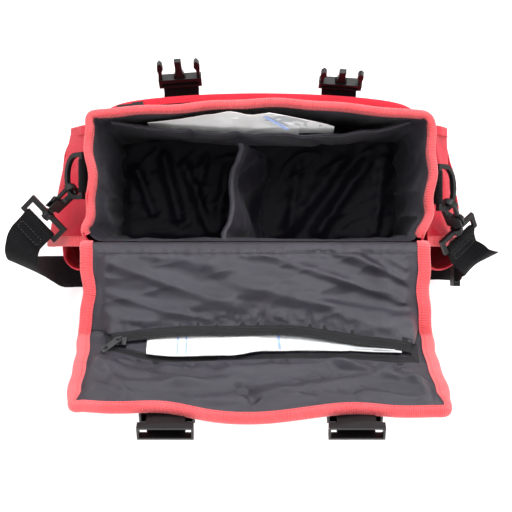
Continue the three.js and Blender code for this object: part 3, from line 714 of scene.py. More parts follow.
def make_front_pocket():
    """The zipped pocket across the front: a low bulge with its zip along the top."""
    half = 166.0
    x, v = half * row(150, -1), column(40)
    across = (1 - np.abs(x / half) ** 10) ** 0.35
    belly = (np.clip(np.sin(np.clip(v * 1.06, 0, 1) * math.pi), 0, 1) ** 0.32) * across
    reach = 0.6 + (POCKET_REACH - 1.4) * np.maximum(belly, 0)
    p = points(x, front_y(x) + reach, 20 + 145 * v)
    n = 1.1 * creases(p, (44, 44, 26), 41, 2) + 1.0 * field(p, 50, 42)
    p[..., 1] += (n - 0.9) * smooth(belly * 1.2)
    lip = []
    for out, up in ((0.94, 0.7), (0.86, 1.6), (0.7, 2.4), (0.56, 2.7), (0.5, 2.7)):
        y = front_y(x[0]) + 0.6 + (POCKET_REACH - 1.4) * out * across[0]
        lip.append(points(p[-4, :, 0], y, 164.2 + up))
    body = np.concatenate([p[:-3], lip], 0)
    pocket = grid("front_pocket_cloth", body[:, ::-1], red_cloth, thick=1.2)
    put(pocket, "bag", ["front_pocket"])
    cloth(body)
    xs = np.linspace(-138, 138, 120)
    path = np.c_[xs, front_y(xs, 5.0), np.full(120, 165.7)]
    _, side, up = frames(path, (0, 0, 1))
    tape = sweep("front_zip_tape", path, side, up, band(10.0, 0.9), zip_cloth)
    put(tape, "bag", ["front_zip"])
    c = resample(path, 170) + np.array([0, 0, 0.7])
    t, side, up = frames(c, (0, 0, 1))
    put(repeat("front_zip_teeth", *capsule(4.6, 0.55), c, side, t, up, coil, sharp=80), "bag")
    up_side = np.linspace(24, 163, 40)
    foot = points(np.linspace(-half, half, 80), 19.5)
    seam = np.concatenate([points(-half - 2, up_side[::-1]), foot, points(half + 2, up_side)])
    seam = resample(seam, 220)
    path = np.c_[seam[:, 0], front_y(seam[:, 0], 1.2), seam[:, 1]]
    t = tangents(path)
    side = unit(np.cross(t, (0, 1, 0)))
    put(sweep("front_pocket_piping", path, side, np.cross(side, t), PIPE, red_binding), "bag")


def side_loop(side, inset, count=150):
    """The side pocket's plan: flat along the bag, rounded outside, a loose gusset at the back."""
    wall = HALF + 0.6
    r = 20 - inset
    knots = [(wall, -57), (wall + 2, -66), (wall + 6, -80)]
    knots += [(197 + r * math.cos(a), -73 + r * math.sin(a)) for a in np.radians(np.linspace(200, 350, 11))]
    knots += [(217 - inset, -40), (216 - inset, 0), (213 - inset, 36)]
    knots += [(206 - inset, 52 - inset), (190, 57 - inset), (wall, 58 - inset)]
    return curve(knots, 3, count) * np.array([side, 1])


def make_side_pocket(side, name):
    """The loose open pocket on a side, with its floor and hem."""
    heights = np.r_[14.2, 15, 17, np.linspace(21, 139.5, 30)]
    rows = []
    for z in heights:
        inset = 5.5 * (1 - smooth((z - 14) / 9)) + 0.6
        ring = side_loop(side, inset)
        rows.append(np.c_[ring, np.full(len(ring), z)])
    p = np.array(rows)
    t = np.linspace(0, 1, p.shape[1])[None, :]
    loose = smooth(np.minimum(t, 1 - t) * 12)
    if side > 0:
        p[..., 0] -= 6 * smooth((p[..., 1] + 40) / 60) * smooth((p[..., 0] - 180) / 20)
    dip = 3.2 * creases(p, (40, 40, 30), 51 + side, 2) + 1.6 * field(p, 40, 53 + side) - 2.0
    p[..., 0] += side * dip * loose * smooth((p[..., 2] - 14) / 12) * 0.7
    gusset = bell((p[..., 1] + 86) / 14) * smooth((p[..., 2] - 70) / 60)
    p[..., 2] -= 3 * gusset
    order = p[:, ::-1] if side > 0 else p
    pocket = grid(f"side_pocket_cloth_{name}", order, red_cloth, thick=1.1)
    put(pocket, "bag", [f"side_pocket_{name}"])
    cloth(p)
    ring = p[0]
    inner = ring.mean(0)
    floor = np.array([inner + (ring - inner) * k for k in np.linspace(1, 0.04, 8)])
    order = floor if side > 0 else floor[:, ::-1]
    put(grid(f"side_pocket_base_{name}", order, red_cloth, thick=0.8), "bag")
    top = p[-1]
    _, out, up = frames(top, (0, 0, 1))
    lip = standing_binding(1.0, 1.3, 9, 0.8)
    put(sweep(f"side_pocket_hem_{name}", top, out, up, lip, red_cloth), "bag")


# how far out each side cover reaches, as (y, x) from its back to its front
COVER_EDGE = {
    -1: ((-70, 231), (-28, 224), (4, 217), (60, 205)), 1: ((-68, 215), (-44, 212), (-7, 206), (60, 202))
}


def make_side_cover(side, name):
    """The sewn cover over a side pocket: it slopes out from the wall and hangs down, wider at the back."""
    y = np.linspace(-67, 60, 70)[:, None]
    edge = np.interp(y, *zip(*COVER_EDGE[side]))
    knots = [(0, 181.5), (0.03, 181.5), (0.5, 167.5), (0.97, 151), (1.0, 146), (1.0, 128), (0.985, 114)]
    profile = chaikin(knots, 3)
    profile = resample(profile * np.array([45, 1]), 46) / np.array([45, 1])
    k, z = profile[:, 0][None, :], profile[:, 1][None, :]
    x = HALF + 0.5 + (edge - HALF - 0.5) * k
    mid = points(x, y, z)
    free = smooth(k * 5)
    rumple = 2.2 * creases(turned(mid, 20 * side), (26, 60, 60), 61 + side, 2) + 2.5 * field(mid, 45, 63 + side)
    z = z + free * (rumple - 1.5)
    hump = 7 * bell((y + 66) / 20) * np.sin(np.clip(k, 0, 1) * math.pi) ** 2
    z = z + hump - 3 * bell((y + 10) / 30) * np.sin(np.clip(k, 0, 1) * math.pi)
    p = points(side * x, y, z)
    order = p if side > 0 else p[:, ::-1]
    cover = grid(f"side_cover_cloth_{name}", order, red_cloth, thick=1.3)
    put(cover, "bag", [f"side_cover_{name}"])
    cloth(p)
    for end, label, sign in ((p[0], "back", 1), (p[-1], "front", -1)):
        inward = np.array([[0.0, sign, 0.0]] * len(end))
        up = unit(np.cross(tangents(end), inward))
        up *= np.sign(up[:, 2].mean())
        mat = red_binding if label == "back" else red_cloth
        middle = end + inward * 4.6 - up * 0.15
        put(sweep(f"side_cover_hem_{label}_{name}", middle, inward, up, band(11, 2.6), mat), "bag")
        line = (end + inward * 9 + up * 1.4, up)
        sew(f"side_cover_stitching_{label}_{name}", [line], red_thread, slot="red_cloth")


# ---------------------------------------------------------------- the lid
CREASE = (-158.0, 237.0)
RISE = math.radians(57)
UP_Y, UP_Z = -math.cos(RISE), math.sin(RISE)


def on_slope(d, n=0.0):
    """(y, z) at d up the lid's slope from the crease, n above its middle."""
    return CREASE[0] + UP_Y * d + UP_Z * n, CREASE[1] + UP_Z * d - UP_Y * n


def climbed(y, z):
    """How far up the slope from the crease a point is."""
    return (y - CREASE[0]) * UP_Y + (z - CREASE[1]) * UP_Z


def lid_line():
    """The middle of the lid's thickness as (y, z): back wall, hinge, crease, free edge."""
    knots = [(-67.2, 222), (-67.2, 233), (-69, 237), (-80, 237), (-110, 237), (-146, 237), CREASE]
    return curve(knots + [on_slope(d) for d in (11, 40, 76, 114, 150)], 4, 900)


LID = lid_line()
LID_S = lengths(LID)
LID_T = tangents(LID)


def lid_s(y, z):
    return float(LID_S[np.argmin(np.hypot(LID[:, 0] - y, LID[:, 1] - z))])


def lid_point(x, s, n):
    """A point x across the lid, s along it, n above its middle on the lined side."""
    x, s, n = np.broadcast_arrays(np.asarray(x, float), np.asarray(s, float), np.asarray(n, float))
    y, z, ty, tz = (np.interp(s, LID_S, v) for v in (*LID.T, *LID_T.T))
    return points(x, y + tz * n, z - ty * n)


def lid_up(x, s):
    return unit(lid_point(x, s, 1.0) - lid_point(x, s, 0.0))


S_SEAM = lid_s(-67.2, 231)
S_HINGE1 = lid_s(-86, 237)
S_BACK = lid_s(-116, 237)
S_CREASE0 = lid_s(-149, 237.2)
S_UP = lid_s(-151, 237)
S_CREASE = lid_s(*on_slope(40)) - 40
S_SLOPE, S_LIP0, S_END = (lid_s(*on_slope(d)) for d in (48, 70, 114))
HINGE = (("bag", "lid_back"), ((0, -70.5, 237), (0, -86, 237)))
FOLD = (("lid_back", "lid_front"), ((0, -151, 240), (0, *on_slope(12))))
LIP = (("lid_front", "lid_lip"), ((0, *on_slope(71)), (0, *on_slope(84))))


# the edge tape's stitching: this far in from the edge, and this far above the panel's middle
SEAM_IN, SEAM_OVER = 8.2, 4.95


def lid_edge(side, s):
    """x of the lid's side edge: the sewn panel pulls a little to the left and waves."""
    at = [S_SEAM, 60, S_CREASE0, S_SLOPE, S_END - 15, S_END + 20]
    left, right = [-178, -176, -179, -178, -175.5, -174], [166.5, 167, 168, 170, 172, 173]
    wave = 0.8 * (1.1 * np.sin(s / 13.0) + 0.7 * np.sin(s / 5.7 + 1))
    return np.interp(s, at, left if side < 0 else right) + side * wave


def lid_end(x):
    """s of the free edge: drawn in over the two buckles, bellied out between them."""
    bumps = ((9.5, 0, 52), (-4.5, -88, 30), (-4.5, 88, 30), (1.5, 170, 25), (-9, -186, 34))
    return S_END - 1.0 + sum(height * bell((x - at) / width) for height, at, width in bumps)


def lid_span(s, inset):
    """The middle and half of the lid's width at s."""
    left, right = lid_edge(-1, s), lid_edge(1, s)
    return (left + right) / 2, (right - left) / 2 - inset


def lid_flat(s0, s1, columns, rows, inset=0.0, end=False):
    """x and s over a length of the lid between its side edges."""
    t, u = column(rows), row(columns, -1)
    s = s0 + (s1 - s0) * t + 0 * u
    if end:
        mid, half = lid_span(s, inset)
        x = mid + half * u
        s = s0 + (lid_end(x) - inset - s0) * t
        r = 13.0
        near = np.clip((np.abs(u) * half - (half - r)) / r, 0, 1)
        s = np.minimum(s, lid_end(x) - inset - r * (1 - np.sqrt(np.clip(1 - near**2, 0, 1))))
    mid, half = lid_span(s, inset)
    return mid + half * u, s


LID_CUTS = (
    ("hinge", S_SEAM - 5, S_BACK, HINGE, ("lid_back_panel",)),
    ("fold", S_BACK, S_SLOPE, FOLD, ("lid_back_panel", "lid_front_panel")),
    ("lip", S_SLOPE, S_END, LIP, ("lid_front_panel", "lid_lip_panel"))
)


def lid_sag(x, s):
    """The panel is soft: it dips between its straps and ripples towards its free edge."""
    dip = 1.8 * field(points(x, s, 0.0), 90, 71, 2) + 2.6 * smooth((s - S_LIP0) / 40) * np.sin(x / 27.0)
    return dip * smooth((s - S_HINGE1) / 30) * smooth((180 - np.abs(x)) / 20)


def make_lid_shell():
    """The padded panel in three lengths, tucked in under the tape along its edges."""
    for label, s0, s1, (bodies, span), nodes in LID_CUTS:
        x, s = lid_flat(s0, s1, 190, 60, 1.5, label == "lip")
        skin = 0.8 * creases(turned(points(x, s, 0.0), 15), (46, 26, 1), 72, 2)
        inwards = np.minimum(x - lid_edge(-1, s), lid_edge(1, s) - x)
        if label == "lip":
            inwards = np.minimum(inwards, lid_end(x) - s)
        tuck = 2.0 * smooth((13.5 - inwards) / 4)
        n = -3.6 + tuck + lid_sag(x, s) - skin * smooth((s - S_HINGE1) / 20) * smooth((inwards - 9) / 6)
        p = lid_point(x, s, n)
        shell = grid(f"lid_shell_{label}", p, red_cloth, thick=-2.6)
        put(shell, bodies, nodes, span)


def tape_seams(c, out, up):
    """The stitching through a lid's edge tape, one line on each face."""
    return [(c - out * SEAM_IN + up * (SEAM_OVER * k), up * k) for k in (1, -1)]


def make_lid_binding():
    """The ribbed tape round the lid's edge."""
    section = binding_section(1.9, 4.6, 11.5)
    for side, name in SIDES:
        for label, s0, s1, (bodies, span), _ in LID_CUTS[:2]:
            s = np.linspace(max(s0, S_SEAM + 1.5), s1, 70)
            x = lid_edge(side, s)
            c, up = lid_point(x, s, lid_sag(x, s)), lid_up(x, s)
            out = unit(np.cross(tangents(c), up))
            out *= np.sign(out[:, :1] * side)
            turned_section = section if side < 0 else section[::-1]
            tape = sweep(f"lid_binding_{label}_{name}", c, out, up, turned_section, red_binding)
            parts = ("back",) if label == "hinge" else ("back", "front")
            put(tape, bodies, [f"lid_{part}_binding_{name}" for part in parts], span)
            sew(f"lid_stitching_{label}_{name}", tape_seams(c, out, up), red_thread, bodies, blend=span)
    # the last piece runs down one side, round both corners and along the free edge
    s = np.linspace(S_SLOPE, S_END - 15, 30)
    left = np.c_[lid_edge(-1, s), s]
    right = np.c_[lid_edge(1, s), s][::-1]
    x0, x1 = left[-1, 0], right[0, 0]
    xs = np.linspace(x0 + 13, x1 - 13, 130)
    front = np.c_[xs, lid_end(xs)]
    ts = np.linspace(0.08, 0.92, 9)
    c0 = corner_curve(left[-1], np.array([x0, front[0, 1] + 1]), front[0], ts)
    c1 = corner_curve(front[-1], np.array([x1 + 3, front[-1, 1] + 2.5]), right[0], ts)
    x, s = resample(np.vstack([left, c0, front, c1, right]), 330).T
    c, up = lid_point(x, s, lid_sag(x, s)), lid_up(x, s)
    out = unit(np.cross(tangents(c), up))
    if out[165, 2] < 0:
        out = -out
    bodies, span = LIP
    slim = 1 - 0.42 * smooth((s - (S_END - 26)) / 14)
    tape = sweep("lid_binding_lip", c, out, up, section, red_binding, scale=slim)
    nodes = ["lid_lip_binding", "lid_front_binding_left", "lid_front_binding_right"]
    put(tape, bodies, nodes, span)
    sew("lid_stitching_lip", tape_seams(c, out * slim[:, None], up), red_thread, bodies, blend=span)


ZIP_HALF = 146.0
# how far up the slope each edge is shifted, as (x, shift)
UPPER_SHIFT = ((-146, 0), (20, 0), (50, 2.5), (77, 7), (115, 14), (146, 17))
LOWER_SHIFT = ((-146, 0), (-126, 4), (-105, 8.5), (-60, 8.5), (-30, 7), (8, 4), (60, 4), (115, 10), (146, 17))


def zip_path(which, xs):
    """One edge of the zip: the upper stands off the lid in its middle, the lower lies on the slope."""
    k = np.clip(1 - (xs / ZIP_HALF) ** 2, 0, 1) ** 0.7
    knots = np.array(UPPER_SHIFT if which == "upper" else LOWER_SHIFT, float)
    fine = catmull(knots, 8)
    shift = np.interp(xs, fine[:, 0], fine[:, 1])
    if which == "upper":
        y = -163.0 + 7.2 * k + 0.6 * np.sin(xs / 17)
        z = 254.5 - 5.5 * k + 0.5 * np.sin(xs / 13)
    else:
        y = -165.5 - 5.6 * k
        z = 257.0 + 6.0 * k + 0.4 * np.sin(xs / 19)
    return np.c_[xs, y + UP_Y * shift, z + UP_Z * shift]


def make_lid_lining():
    """The lid's lining, and over it the loose nylon on each side of the zip."""
    # under everything, the lid's own lining, in the same three lengths as the shell
    for label, s0, s1, (bodies, span), _ in LID_CUTS:
        start = max(s0, S_SEAM)
        x, s = lid_flat(start, s1, 90, 30, 3.0, label == "lip")
        p = lid_point(x, s, 2.7 + lid_sag(x, s) * 0.9)
        under = grid(f"lid_backing_{label}", p[:, ::-1], lining, thick=0.6)
        put(under, bodies, (), span)
        cloth(p)
    # upper lining: from the hinge seam to the zip, loose, wrinkled and puckered
    columns, rows = 230, 110
    u, t = row(columns, -1), column(rows)
    s = S_SEAM + (S_UP - S_SEAM) * t + 0 * u
    mid, half = lid_span(s, 4)
    x = mid + half * u
    inside = smooth(((1 - np.abs(u)) * half - 8) / 13)
    q = points(x, s, 0.0)
    far = S_UP - s
    rise = 3.4 + 7.6 * smooth(t * 1.08) * np.clip(1 - (x / 156) ** 2, 0, 1) ** 0.5
    m = s - S_SEAM
    folds = [
        (-160, 18, -20, 66, 6, 3.2), (-150, 52, -40, 84, 5, 2.6), (-120, 10, 60, 44, 8, 2.6),
        (-30, 40, 150, 86, 7, 3.6), (20, 20, 158, 60, 6, 3.0), (70, 6, 120, 30, 5, 3.6),
        (60, 60, 150, 74, 4, 2.4), (-100, 72, -10, 50, 7, 2.6), (-165, 40, -140, 8, 6, 2.2),
        (86, 8, 158, 48, 4, 2.8), (-60, 14, 30, 8, 9, 1.8), (100, 86, 160, 66, 6, 2.4),
        (-155, 70, -90, 88, 5, 2.4)
    ]
    wr = 1.35 * ridge_lines(x, m, folds)
    wr += 1.8 * creases(turned(q, 18), (150, 34, 1), 81, 1.4)
    wr += 1.1 * creases(turned(q, -24), (70, 22, 1), 82, 1.8) + 2.6 * field(q, (60, 36, 1), 83, 3)
    pucker = 2.3 * np.sin(x / 2.9 + 3 * field(q, 30, 84)) + 1.5 * np.sin(x / 4.9 + 2)
    pucker *= bell(far / 13) * (0.35 + 0.65 * bell((x + 5) / 70))
    pleat = 0.5 * np.sin(x / 1.9 + 2 * field(q, 22, 85)) * bell((m - 11) / 5) - 1.0 * bell((m - 11) / 1.6)
    n = rise + (wr * smooth(far / 16) * smooth((m - 3) / 14) + pucker) * inside + pleat * inside
    base = lid_point(x, s, n)
    goal = zip_path("upper", np.clip(x[-1], -ZIP_HALF, ZIP_HALF))
    goal[:, 0] = x[-1]
    goal[:, 1] += 9.0
    goal[:, 2] -= 1.2
    past = smooth((np.abs(x[-1]) - ZIP_HALF - 1) / 10)[:, None]
    goal = goal * (1 - past) + base[-1] * past
    lift = goal - base[-1]
    lift[:, 0] = 0
    p = base + lift[None] * smooth(1 - far / 24)[..., None]
    cut = int(np.argmax(s[:, 0] >= S_BACK))
    upper = grid("lid_lining_upper", p[: cut + 1, ::-1], lining, thick=0.5)
    put(upper, HINGE[0], ["lid_pocket"], HINGE[1])
    cloth(p[: cut + 1])
    beyond = grid("lid_lining_fold", p[cut:, ::-1], lining, thick=0.5)
    put(beyond, FOLD[0], ["lid_pocket"], FOLD[1])
    cloth(p[cut:])
    line = p[int(np.argmax(m[:, 0] >= 11))] + np.array([0, 0, 0.6])
    size = {"pitch": 3.6, "length": 2.8, "radius": 0.4}
    lines = [(line[6:-6], (0, 0.2, 1))]
    sew("lid_seam_stitching", lines, black_thread, HINGE[0], "black_lining", HINGE[1], **size)
    # lower lining: from the zip to the free edge
    edge = zip_path("lower", np.clip(177 * u[0], -ZIP_HALF, ZIP_HALF))
    start = S_CREASE + climbed(edge[:, 1], edge[:, 2])[None, :] + 9.0
    x, s = lid_flat(start, S_END, columns, 100, 4.0, True)
    m = s - start
    inside = smooth(((1 - np.abs(u)) * 173 - 8) / 13)
    q = points(x, s, 0.0)
    folds = [
        (-40, 20, 90, 16, 7, 4.2), (60, 12, 150, 30, 5, 3.6), (-150, 20, -60, 34, 7, 3.2),
        (-130, 44, -20, 30, 6, 2.8), (20, 52, 120, 24, 6, 3.2), (90, 50, 150, 60, 7, 2.8),
        (-60, 58, 30, 50, 8, 2.6), (-20, 36, -5, 62, 6, -2.6), (130, 10, 160, 50, 6, 2.6),
        (-160, 10, -120, 60, 6, 2.2)
    ]
    wr = 1.7 * ridge_lines(x, m, folds)
    wr += 1.8 * creases(turned(q, -10), (130, 30, 1), 91, 1.4)
    wr += 1.5 * creases(turned(q, 26), (50, 20, 1), 92, 1.8) + 2.4 * field(q, (60, 34, 1), 93, 3)
    pucker = 0.7 * np.sin(x / 3.1 + 3 * field(q, 28, 94)) * bell((m - 7) / 6)
    closing = smooth((lid_end(x) - 6 - s) / 12)
    n = 3.4 + lid_sag(x, s) * 0.95 + (1.6 * closing + wr * smooth((m - 2) / 12) * closing + pucker) * inside
    p = lid_point(x, s, n)
    lower = grid("lid_lining_lower", p[:, ::-1], lining, thick=0.5)
    put(lower, LIP[0], ["lid_front_lining"], LIP[1])
    cloth(p)


def make_lid_zip():
    bodies, span = FOLD
    xs = np.linspace(-ZIP_HALF, ZIP_HALF, 150)
    for which, node in (("upper", "zip_tape_upper"), ("lower", "zip_tape_lower")):
        edge = zip_path(which, xs)
        # each tape lies back from its toothed edge, on its own lining
        if which == "upper":
            away = np.array([0, 0.985, -0.17])
        else:
            away = np.array([0, -0.56, 0.828])
        face = np.cross(np.array([1.0, 0, 0]), away)
        face = face if face[2] > 0 else -face
        centre = edge + away * 6.8
        side = np.broadcast_to(away, centre.shape)
        up = np.broadcast_to(face, centre.shape)
        tape = sweep(f"lid_zip_tape_{which}", centre, side, up, band(13.6, 0.9), zip_cloth)
        put(tape, bodies, [node], span)
        c = resample(edge, 196)
        axes = np.broadcast_to(away, c.shape), tangents(c), np.broadcast_to(face, c.shape)
        c = c + away * 0.4 + face * 0.75
        teeth = repeat(f"lid_zip_teeth_{which}", *capsule(3.4, 0.52), c, *axes, coil, sharp=80)
        put(teeth, bodies, (), span)
        line = (edge + away * 7.4 + face * 0.6, face)
        size = {"pitch": 2.8, "length": 2.0}
        sew(f"lid_zip_stitching_{which}", [line], black_thread, bodies, "zip_cloth", span, **size)
    for x, label in ((-ZIP_HALF - 2, "left"), (ZIP_HALF + 2, "right")):
        # a woven stop across each end
        mid = zip_path("upper", np.array([np.clip(x, -ZIP_HALF, ZIP_HALF)]))[0] + np.array([0, -0.6, 0.9])
        path = np.array([[x, mid[1] + 9 - 18 * t, mid[2] - 7 + 15 * t] for t in np.linspace(0, 1, 12)])
        _, side, up = frames(path, (0, 0.6, 0.8))
        stop = sweep(f"lid_zip_end_{label}", path, side, up, band(7, 1.0), zip_cloth)
        put(stop, bodies, (), span)


def make_packets():
    """Blank wrapped dressings that show in the mouth of the lid's pocket."""
    bodies, span = FOLD
    rise = ((9, 4.0), (16, 3.2), (25, 5.2), (31, 7.4), (38, 8.6), (46, 9.2), (56, 9.4))
    path = chaikin([(-126, 241.2), (-142, 241.3), (-152, 242.2)] + [on_slope(d, n) for d, n in rise], 3)
    s = lengths(path)
    climb = climbed(path[:, 0], path[:, 1])
    # each packet's two ends, its lift, its material, and whether it rises over the zip's lower tape
    packets = (
        (-112, 84, 0.0, paper, False), (-50, 134, -0.9, paper, False), (-111, 6, 1.0, paper, True),
        (24, 128, 0.7, pale_grey, False)
    )
    for k, (x0, x1, lift, mat, over) in enumerate(packets):
        u, v = row(70), column(30)
        x = x0 + (x1 - x0) * u + 3 * (v - 0.5)
        lower = zip_path("lower", x.ravel())
        end = climbed(lower[:, 1], lower[:, 2]).reshape(x.shape)
        end = end - 1.6 - (0.0, 0.8, 0.0, 3.0)[k]
        if over:
            end = end + 7.0 * smooth((10 - x) / 44)
        end = end + 0.5 * np.sin(x / 9.0 + 2 * k)
        at = v * np.interp(end, climb[20:], s[20:])
        y, z = (np.interp(at, s, v) for v in path.T)
        q = points(x, y + 0.45 * lift, z + 0.9 * lift)
        wave = 0.5 * field(q, 26, 101 + k) + 0.8 * creases(q, (40, 14, 14), 105 + k, 3)
        wave = wave * smooth((end - 6) / 20)
        q[..., 1] += 0.45 * wave
        q[..., 2] += 0.8 * wave
        put(grid(f"lid_packet_{k + 1}", q[:, ::-1], mat, thick=0.8), bodies, (), span)
        if k in (0, 2):
            for j, col in enumerate((17, 22) if k else (45,)):
                strip = q[8:-1, col : col + 2] + np.array([0, 0.25, 0.4])
                stripe = grid(f"lid_packet_{k + 1}_stripe_{j + 1}", strip[:, ::-1], pale_blue, thick=0.2)
                put(stripe, bodies, (), span)


# ---------------------------------------------------------------- webbing
STRAP_X = 86.0
UNDER_LID = -7.4  # the straps' middle, from the lid's
STRAP_OUT = 20.4  # the front straps' middle, from the front wall


def lay(name, path, across, body, replaces=(), blend=None, width=38.0, thick=1.7):
    """A length of webbing on a path, square to its own normal."""
    path = np.asarray(path, float)
    across = np.broadcast_to(np.asarray(across, float), path.shape)
    t = tangents(path)
    normal = unit(np.cross(t, across))
    side = unit(np.cross(normal, t))
    strap = sweep(name, path, side, normal, band(width, thick, 0.0, 12), webbing)
    put(strap, body, replaces, blend)


def box_stitch(centre, across, along, up, wide, tall, lift):
    """The sewn square with a cross in it that anchors a strap."""
    c, a, b, n = (np.asarray(v, float) for v in (centre, across, along, up))
    turns = ((-1, -1), (1, -1), (1, 1), (-1, 1))
    corners = [c + a * (sx * wide / 2) + b * (sy * tall / 2) + n * lift for sx, sy in turns]
    legs = [(0, 1), (1, 2), (2, 3), (3, 0), (0, 2), (1, 3)]
    return [(np.linspace(corners[i], corners[j], 30), n) for i, j in legs]


# the straps lie on the wall below the hinge, so their turn starts above it
STRAP_HINGE = ((0, -73.5, 231), (0, -86, 239))


def front_strap_axes(x):
    """Where a front strap stands at x, and the ways across it and out from the pocket."""
    turn = math.asin(x / (FRONT_R + 20))
    across, out = np.array([(math.cos(turn), -math.sin(turn), 0), (math.sin(turn), math.cos(turn), 0)])
    return np.array([x, float(front_y(x, STRAP_OUT)), 0]), across, out


def make_body_straps():
    for side, name in SIDES:
        x = side * STRAP_X
        # up the back, over the hinge and under the lid
        wall = [(x, -71.6, z) for z in (8, 60, 120, 180, 224)]
        over = [(x, -72.2, 228), (x, -75.5, 231.4)]
        under = lid_point(x, np.linspace(lid_s(-82, 237), S_BACK, 12), UNDER_LID)
        path = curve(np.vstack([wall, over, under]), 2, 130)
        back, front = f"lid_back_strap_{name}", f"lid_front_strap_{name}"
        lay(f"back_strap_web_{name}", path, (1, 0, 0), HINGE[0], [f"back_strap_{name}", back], STRAP_HINGE)
        path = lid_point(x, np.linspace(S_BACK, S_SLOPE, 60), UNDER_LID)
        lay(f"lid_strap_web_{name}", path, (1, 0, 0), FOLD[0], [back, front], FOLD[1])
        path = lid_point(x, np.linspace(S_SLOPE, S_END - 22, 30), UNDER_LID)
        lay(f"lid_strap_end_{name}", path, (1, 0, 0), LIP[0], [front], LIP[1])
        lines = box_stitch((x, -71.6, 30), (1, 0, 0), (0, 0, 1), (0, -1, 0), 30, 34, 1.0)
        lines += [(points(x + k * 16.5, -72.6, np.linspace(12, 222, 70)), (0, -1, 0)) for k in (-1, 1)]
        sew(f"back_strap_stitching_{name}", lines, black_thread, slot="black_webbing")
        # down the front, over the pocket
        foot, across, out = front_strap_axes(x)
        z = np.linspace(22, 132, 60)
        bow = -9.0 * (1 - smooth((z - 16) / 16)) + 0.3 * np.sin(z / 14)
        path = foot + out * bow[:, None] + points(0, 0, z)
        lay(f"front_strap_web_{name}", path, across, "bag", [f"front_strap_{name}"])
        at = foot + out * 0.2 + np.array([0, 0, 58])
        lines = box_stitch(at, across, (0, 0, 1), out, 30, 40, 0.95)
        sew(f"front_strap_stitching_{name}", lines, black_thread, slot="black_webbing")


# each buckle tongue's hinge point, and the way that it leans
MALE = {
    -1: ((-86, 104.66247, 138), (-0.03412, 0.49883, 0.86603)),
    1: ((86, 104.66247, 138), (0.01651, 0.24136, 0.9703))
}


def make_male_tails():
    """The straps' ends, that carry the two buckle tongues."""
    for side, name in SIDES:
        o, lean = np.array(MALE[side][0], float), np.array(MALE[side][1], float)
        foot, across, out = front_strap_axes(o[0])
        start = foot + np.array([0, 0, 128.0])
        knots = [start, start + np.array([0, 0, 6]) + out * 0.6, o - out * 3, o + lean * 6, o + lean * 15.5]
        bodies, span = ("bag", f"male_{name}"), (start + np.array([0, 0, 2]), o + lean * 9)
        lay(f"male_web_{name}", curve(knots, 3, 40), across, bodies, [f"male_tail_{name}"], span)
        front = unit(np.cross(across, lean))
        front = front if front @ out > 0 else -front
        fold = [o + lean * a + front * b for a, b in ((15.5, 1.9), (9, 2.6), (2, 2.4), (-6, 2.6))]
        lay(f"male_fold_{name}", curve(fold, 2, 20), across, f"male_{name}")


# the shoulder strap's ends at its two swivels: the point, the way ahead, and the way across
E_LEFT, E_RIGHT = np.array((-241.98, -54.87, 184.24)), np.array((217.76, -70.12, 158.39))
X_LEFT, X_RIGHT = np.array((-0.70362, -0.67948, -0.20791)), np.array((0.35964, -0.67638, -0.64279))
A_LEFT, A_RIGHT = np.array((0.69466, -0.71934, 0.0)), -np.array((0.72649, 0.63527, -0.262))
REST = -97.0  # y of the strap where it lies on the ground
BACKWARD = np.array((0.0, -1.0, 0.0))


def strap_stations():
    """Points along the shoulder strap, and the way across it at each."""
    def off(end, ahead, d, drop):
        return end + ahead * d - np.array((0, 0, drop))

    rows = [(off(E_LEFT, X_LEFT, d, z), A_LEFT) for d, z in ((0, 0), (6, 0.8))]
    drop = (
        (-250, -68, 180.5, 0.78, -0.62), (-253, -80, 174, 0.88, -0.47), (-254, -88, 158, 0.92, -0.39),
        (-252, -91, 128, 0.86, -0.51), (-247, -93, 90, 0.66, -0.75), (-239, -96, 48, 0.3, -0.95)
    )
    rows += [((x, y, z), (ax, ay, 0)) for x, y, z, ax, ay in drop]
    floor = [
        (-231, REST, 18), (-222, REST, 6), (-208, REST, 1.8), (-185, REST, 1.2), (-120, -105, 1.2),
        (0, -111, 1.2), (120, -101, 1.2), (178, -93, 1.2), (200, -89, 1.8), (214, -88, 5), (222, -88, 16)
    ]
    rows += [(p, BACKWARD) for p in floor] + [((225, -88, z), BACKWARD) for z in (36, 54, 66, 78, 90)]
    rise = (
        (12, -14, -54, -0.3, -0.95), (21, -13, -36, -0.7, -0.72), (25, -12, -20, -0.9, -0.44),
        (15, -12, -9, -0.9, -0.43)
    )
    rows += [(E_RIGHT + np.array((x, y, z)), (ax, ay, 0)) for x, y, z, ax, ay in rise]
    rows += [(off(E_RIGHT, X_RIGHT, d, z), A_RIGHT) for d, z in ((6, 0.5), (0, 0))]
    return np.array([r[0] for r in rows], float), np.array([r[1] for r in rows], float)


def make_shoulder_strap():
    at, across = strap_stations()
    path, side = catmull(at, 14), catmull(across, 14)
    middle = int(np.argmin(np.abs(path[:, 0]) + path[:, 2]))
    for part, name, end in ((slice(0, middle + 1), "left", E_LEFT), (slice(middle, None), "right", E_RIGHT)):
        low = (-246, -78, 60) if name == "left" else (228, -84, 100)
        bodies, nodes = ("bag", f"ring_{name}"), ["shoulder_strap"]
        lay(f"shoulder_strap_{name}", path[part], side[part], bodies, nodes, (low, end))


# each swivel's place and three axes, and the loop through it in its own x and z
CLIPS = {
    "left": np.array(
        ((-196.94585, -11.37957, 197.54269), X_LEFT, (0.69466, -0.71934, 0), (-0.14956, -0.14443, 0.97815))
    ),
    "right": np.array(
        ((194.74493, -26.83605, 199.52441), X_RIGHT, (0.72649, 0.63527, -0.262), (0.58556, -0.37275, 0.71985))
    )
}
STRAP_LOOP = (
    (68, 0.0), (60, 0.2), (53, 1.6), (50, 3.4), (46.6, 3.2), (44.6, 0), (46.6, -3.2), (50, -3.4), (54, -2.6),
    (60, -2.2), (72, -2.1)
)


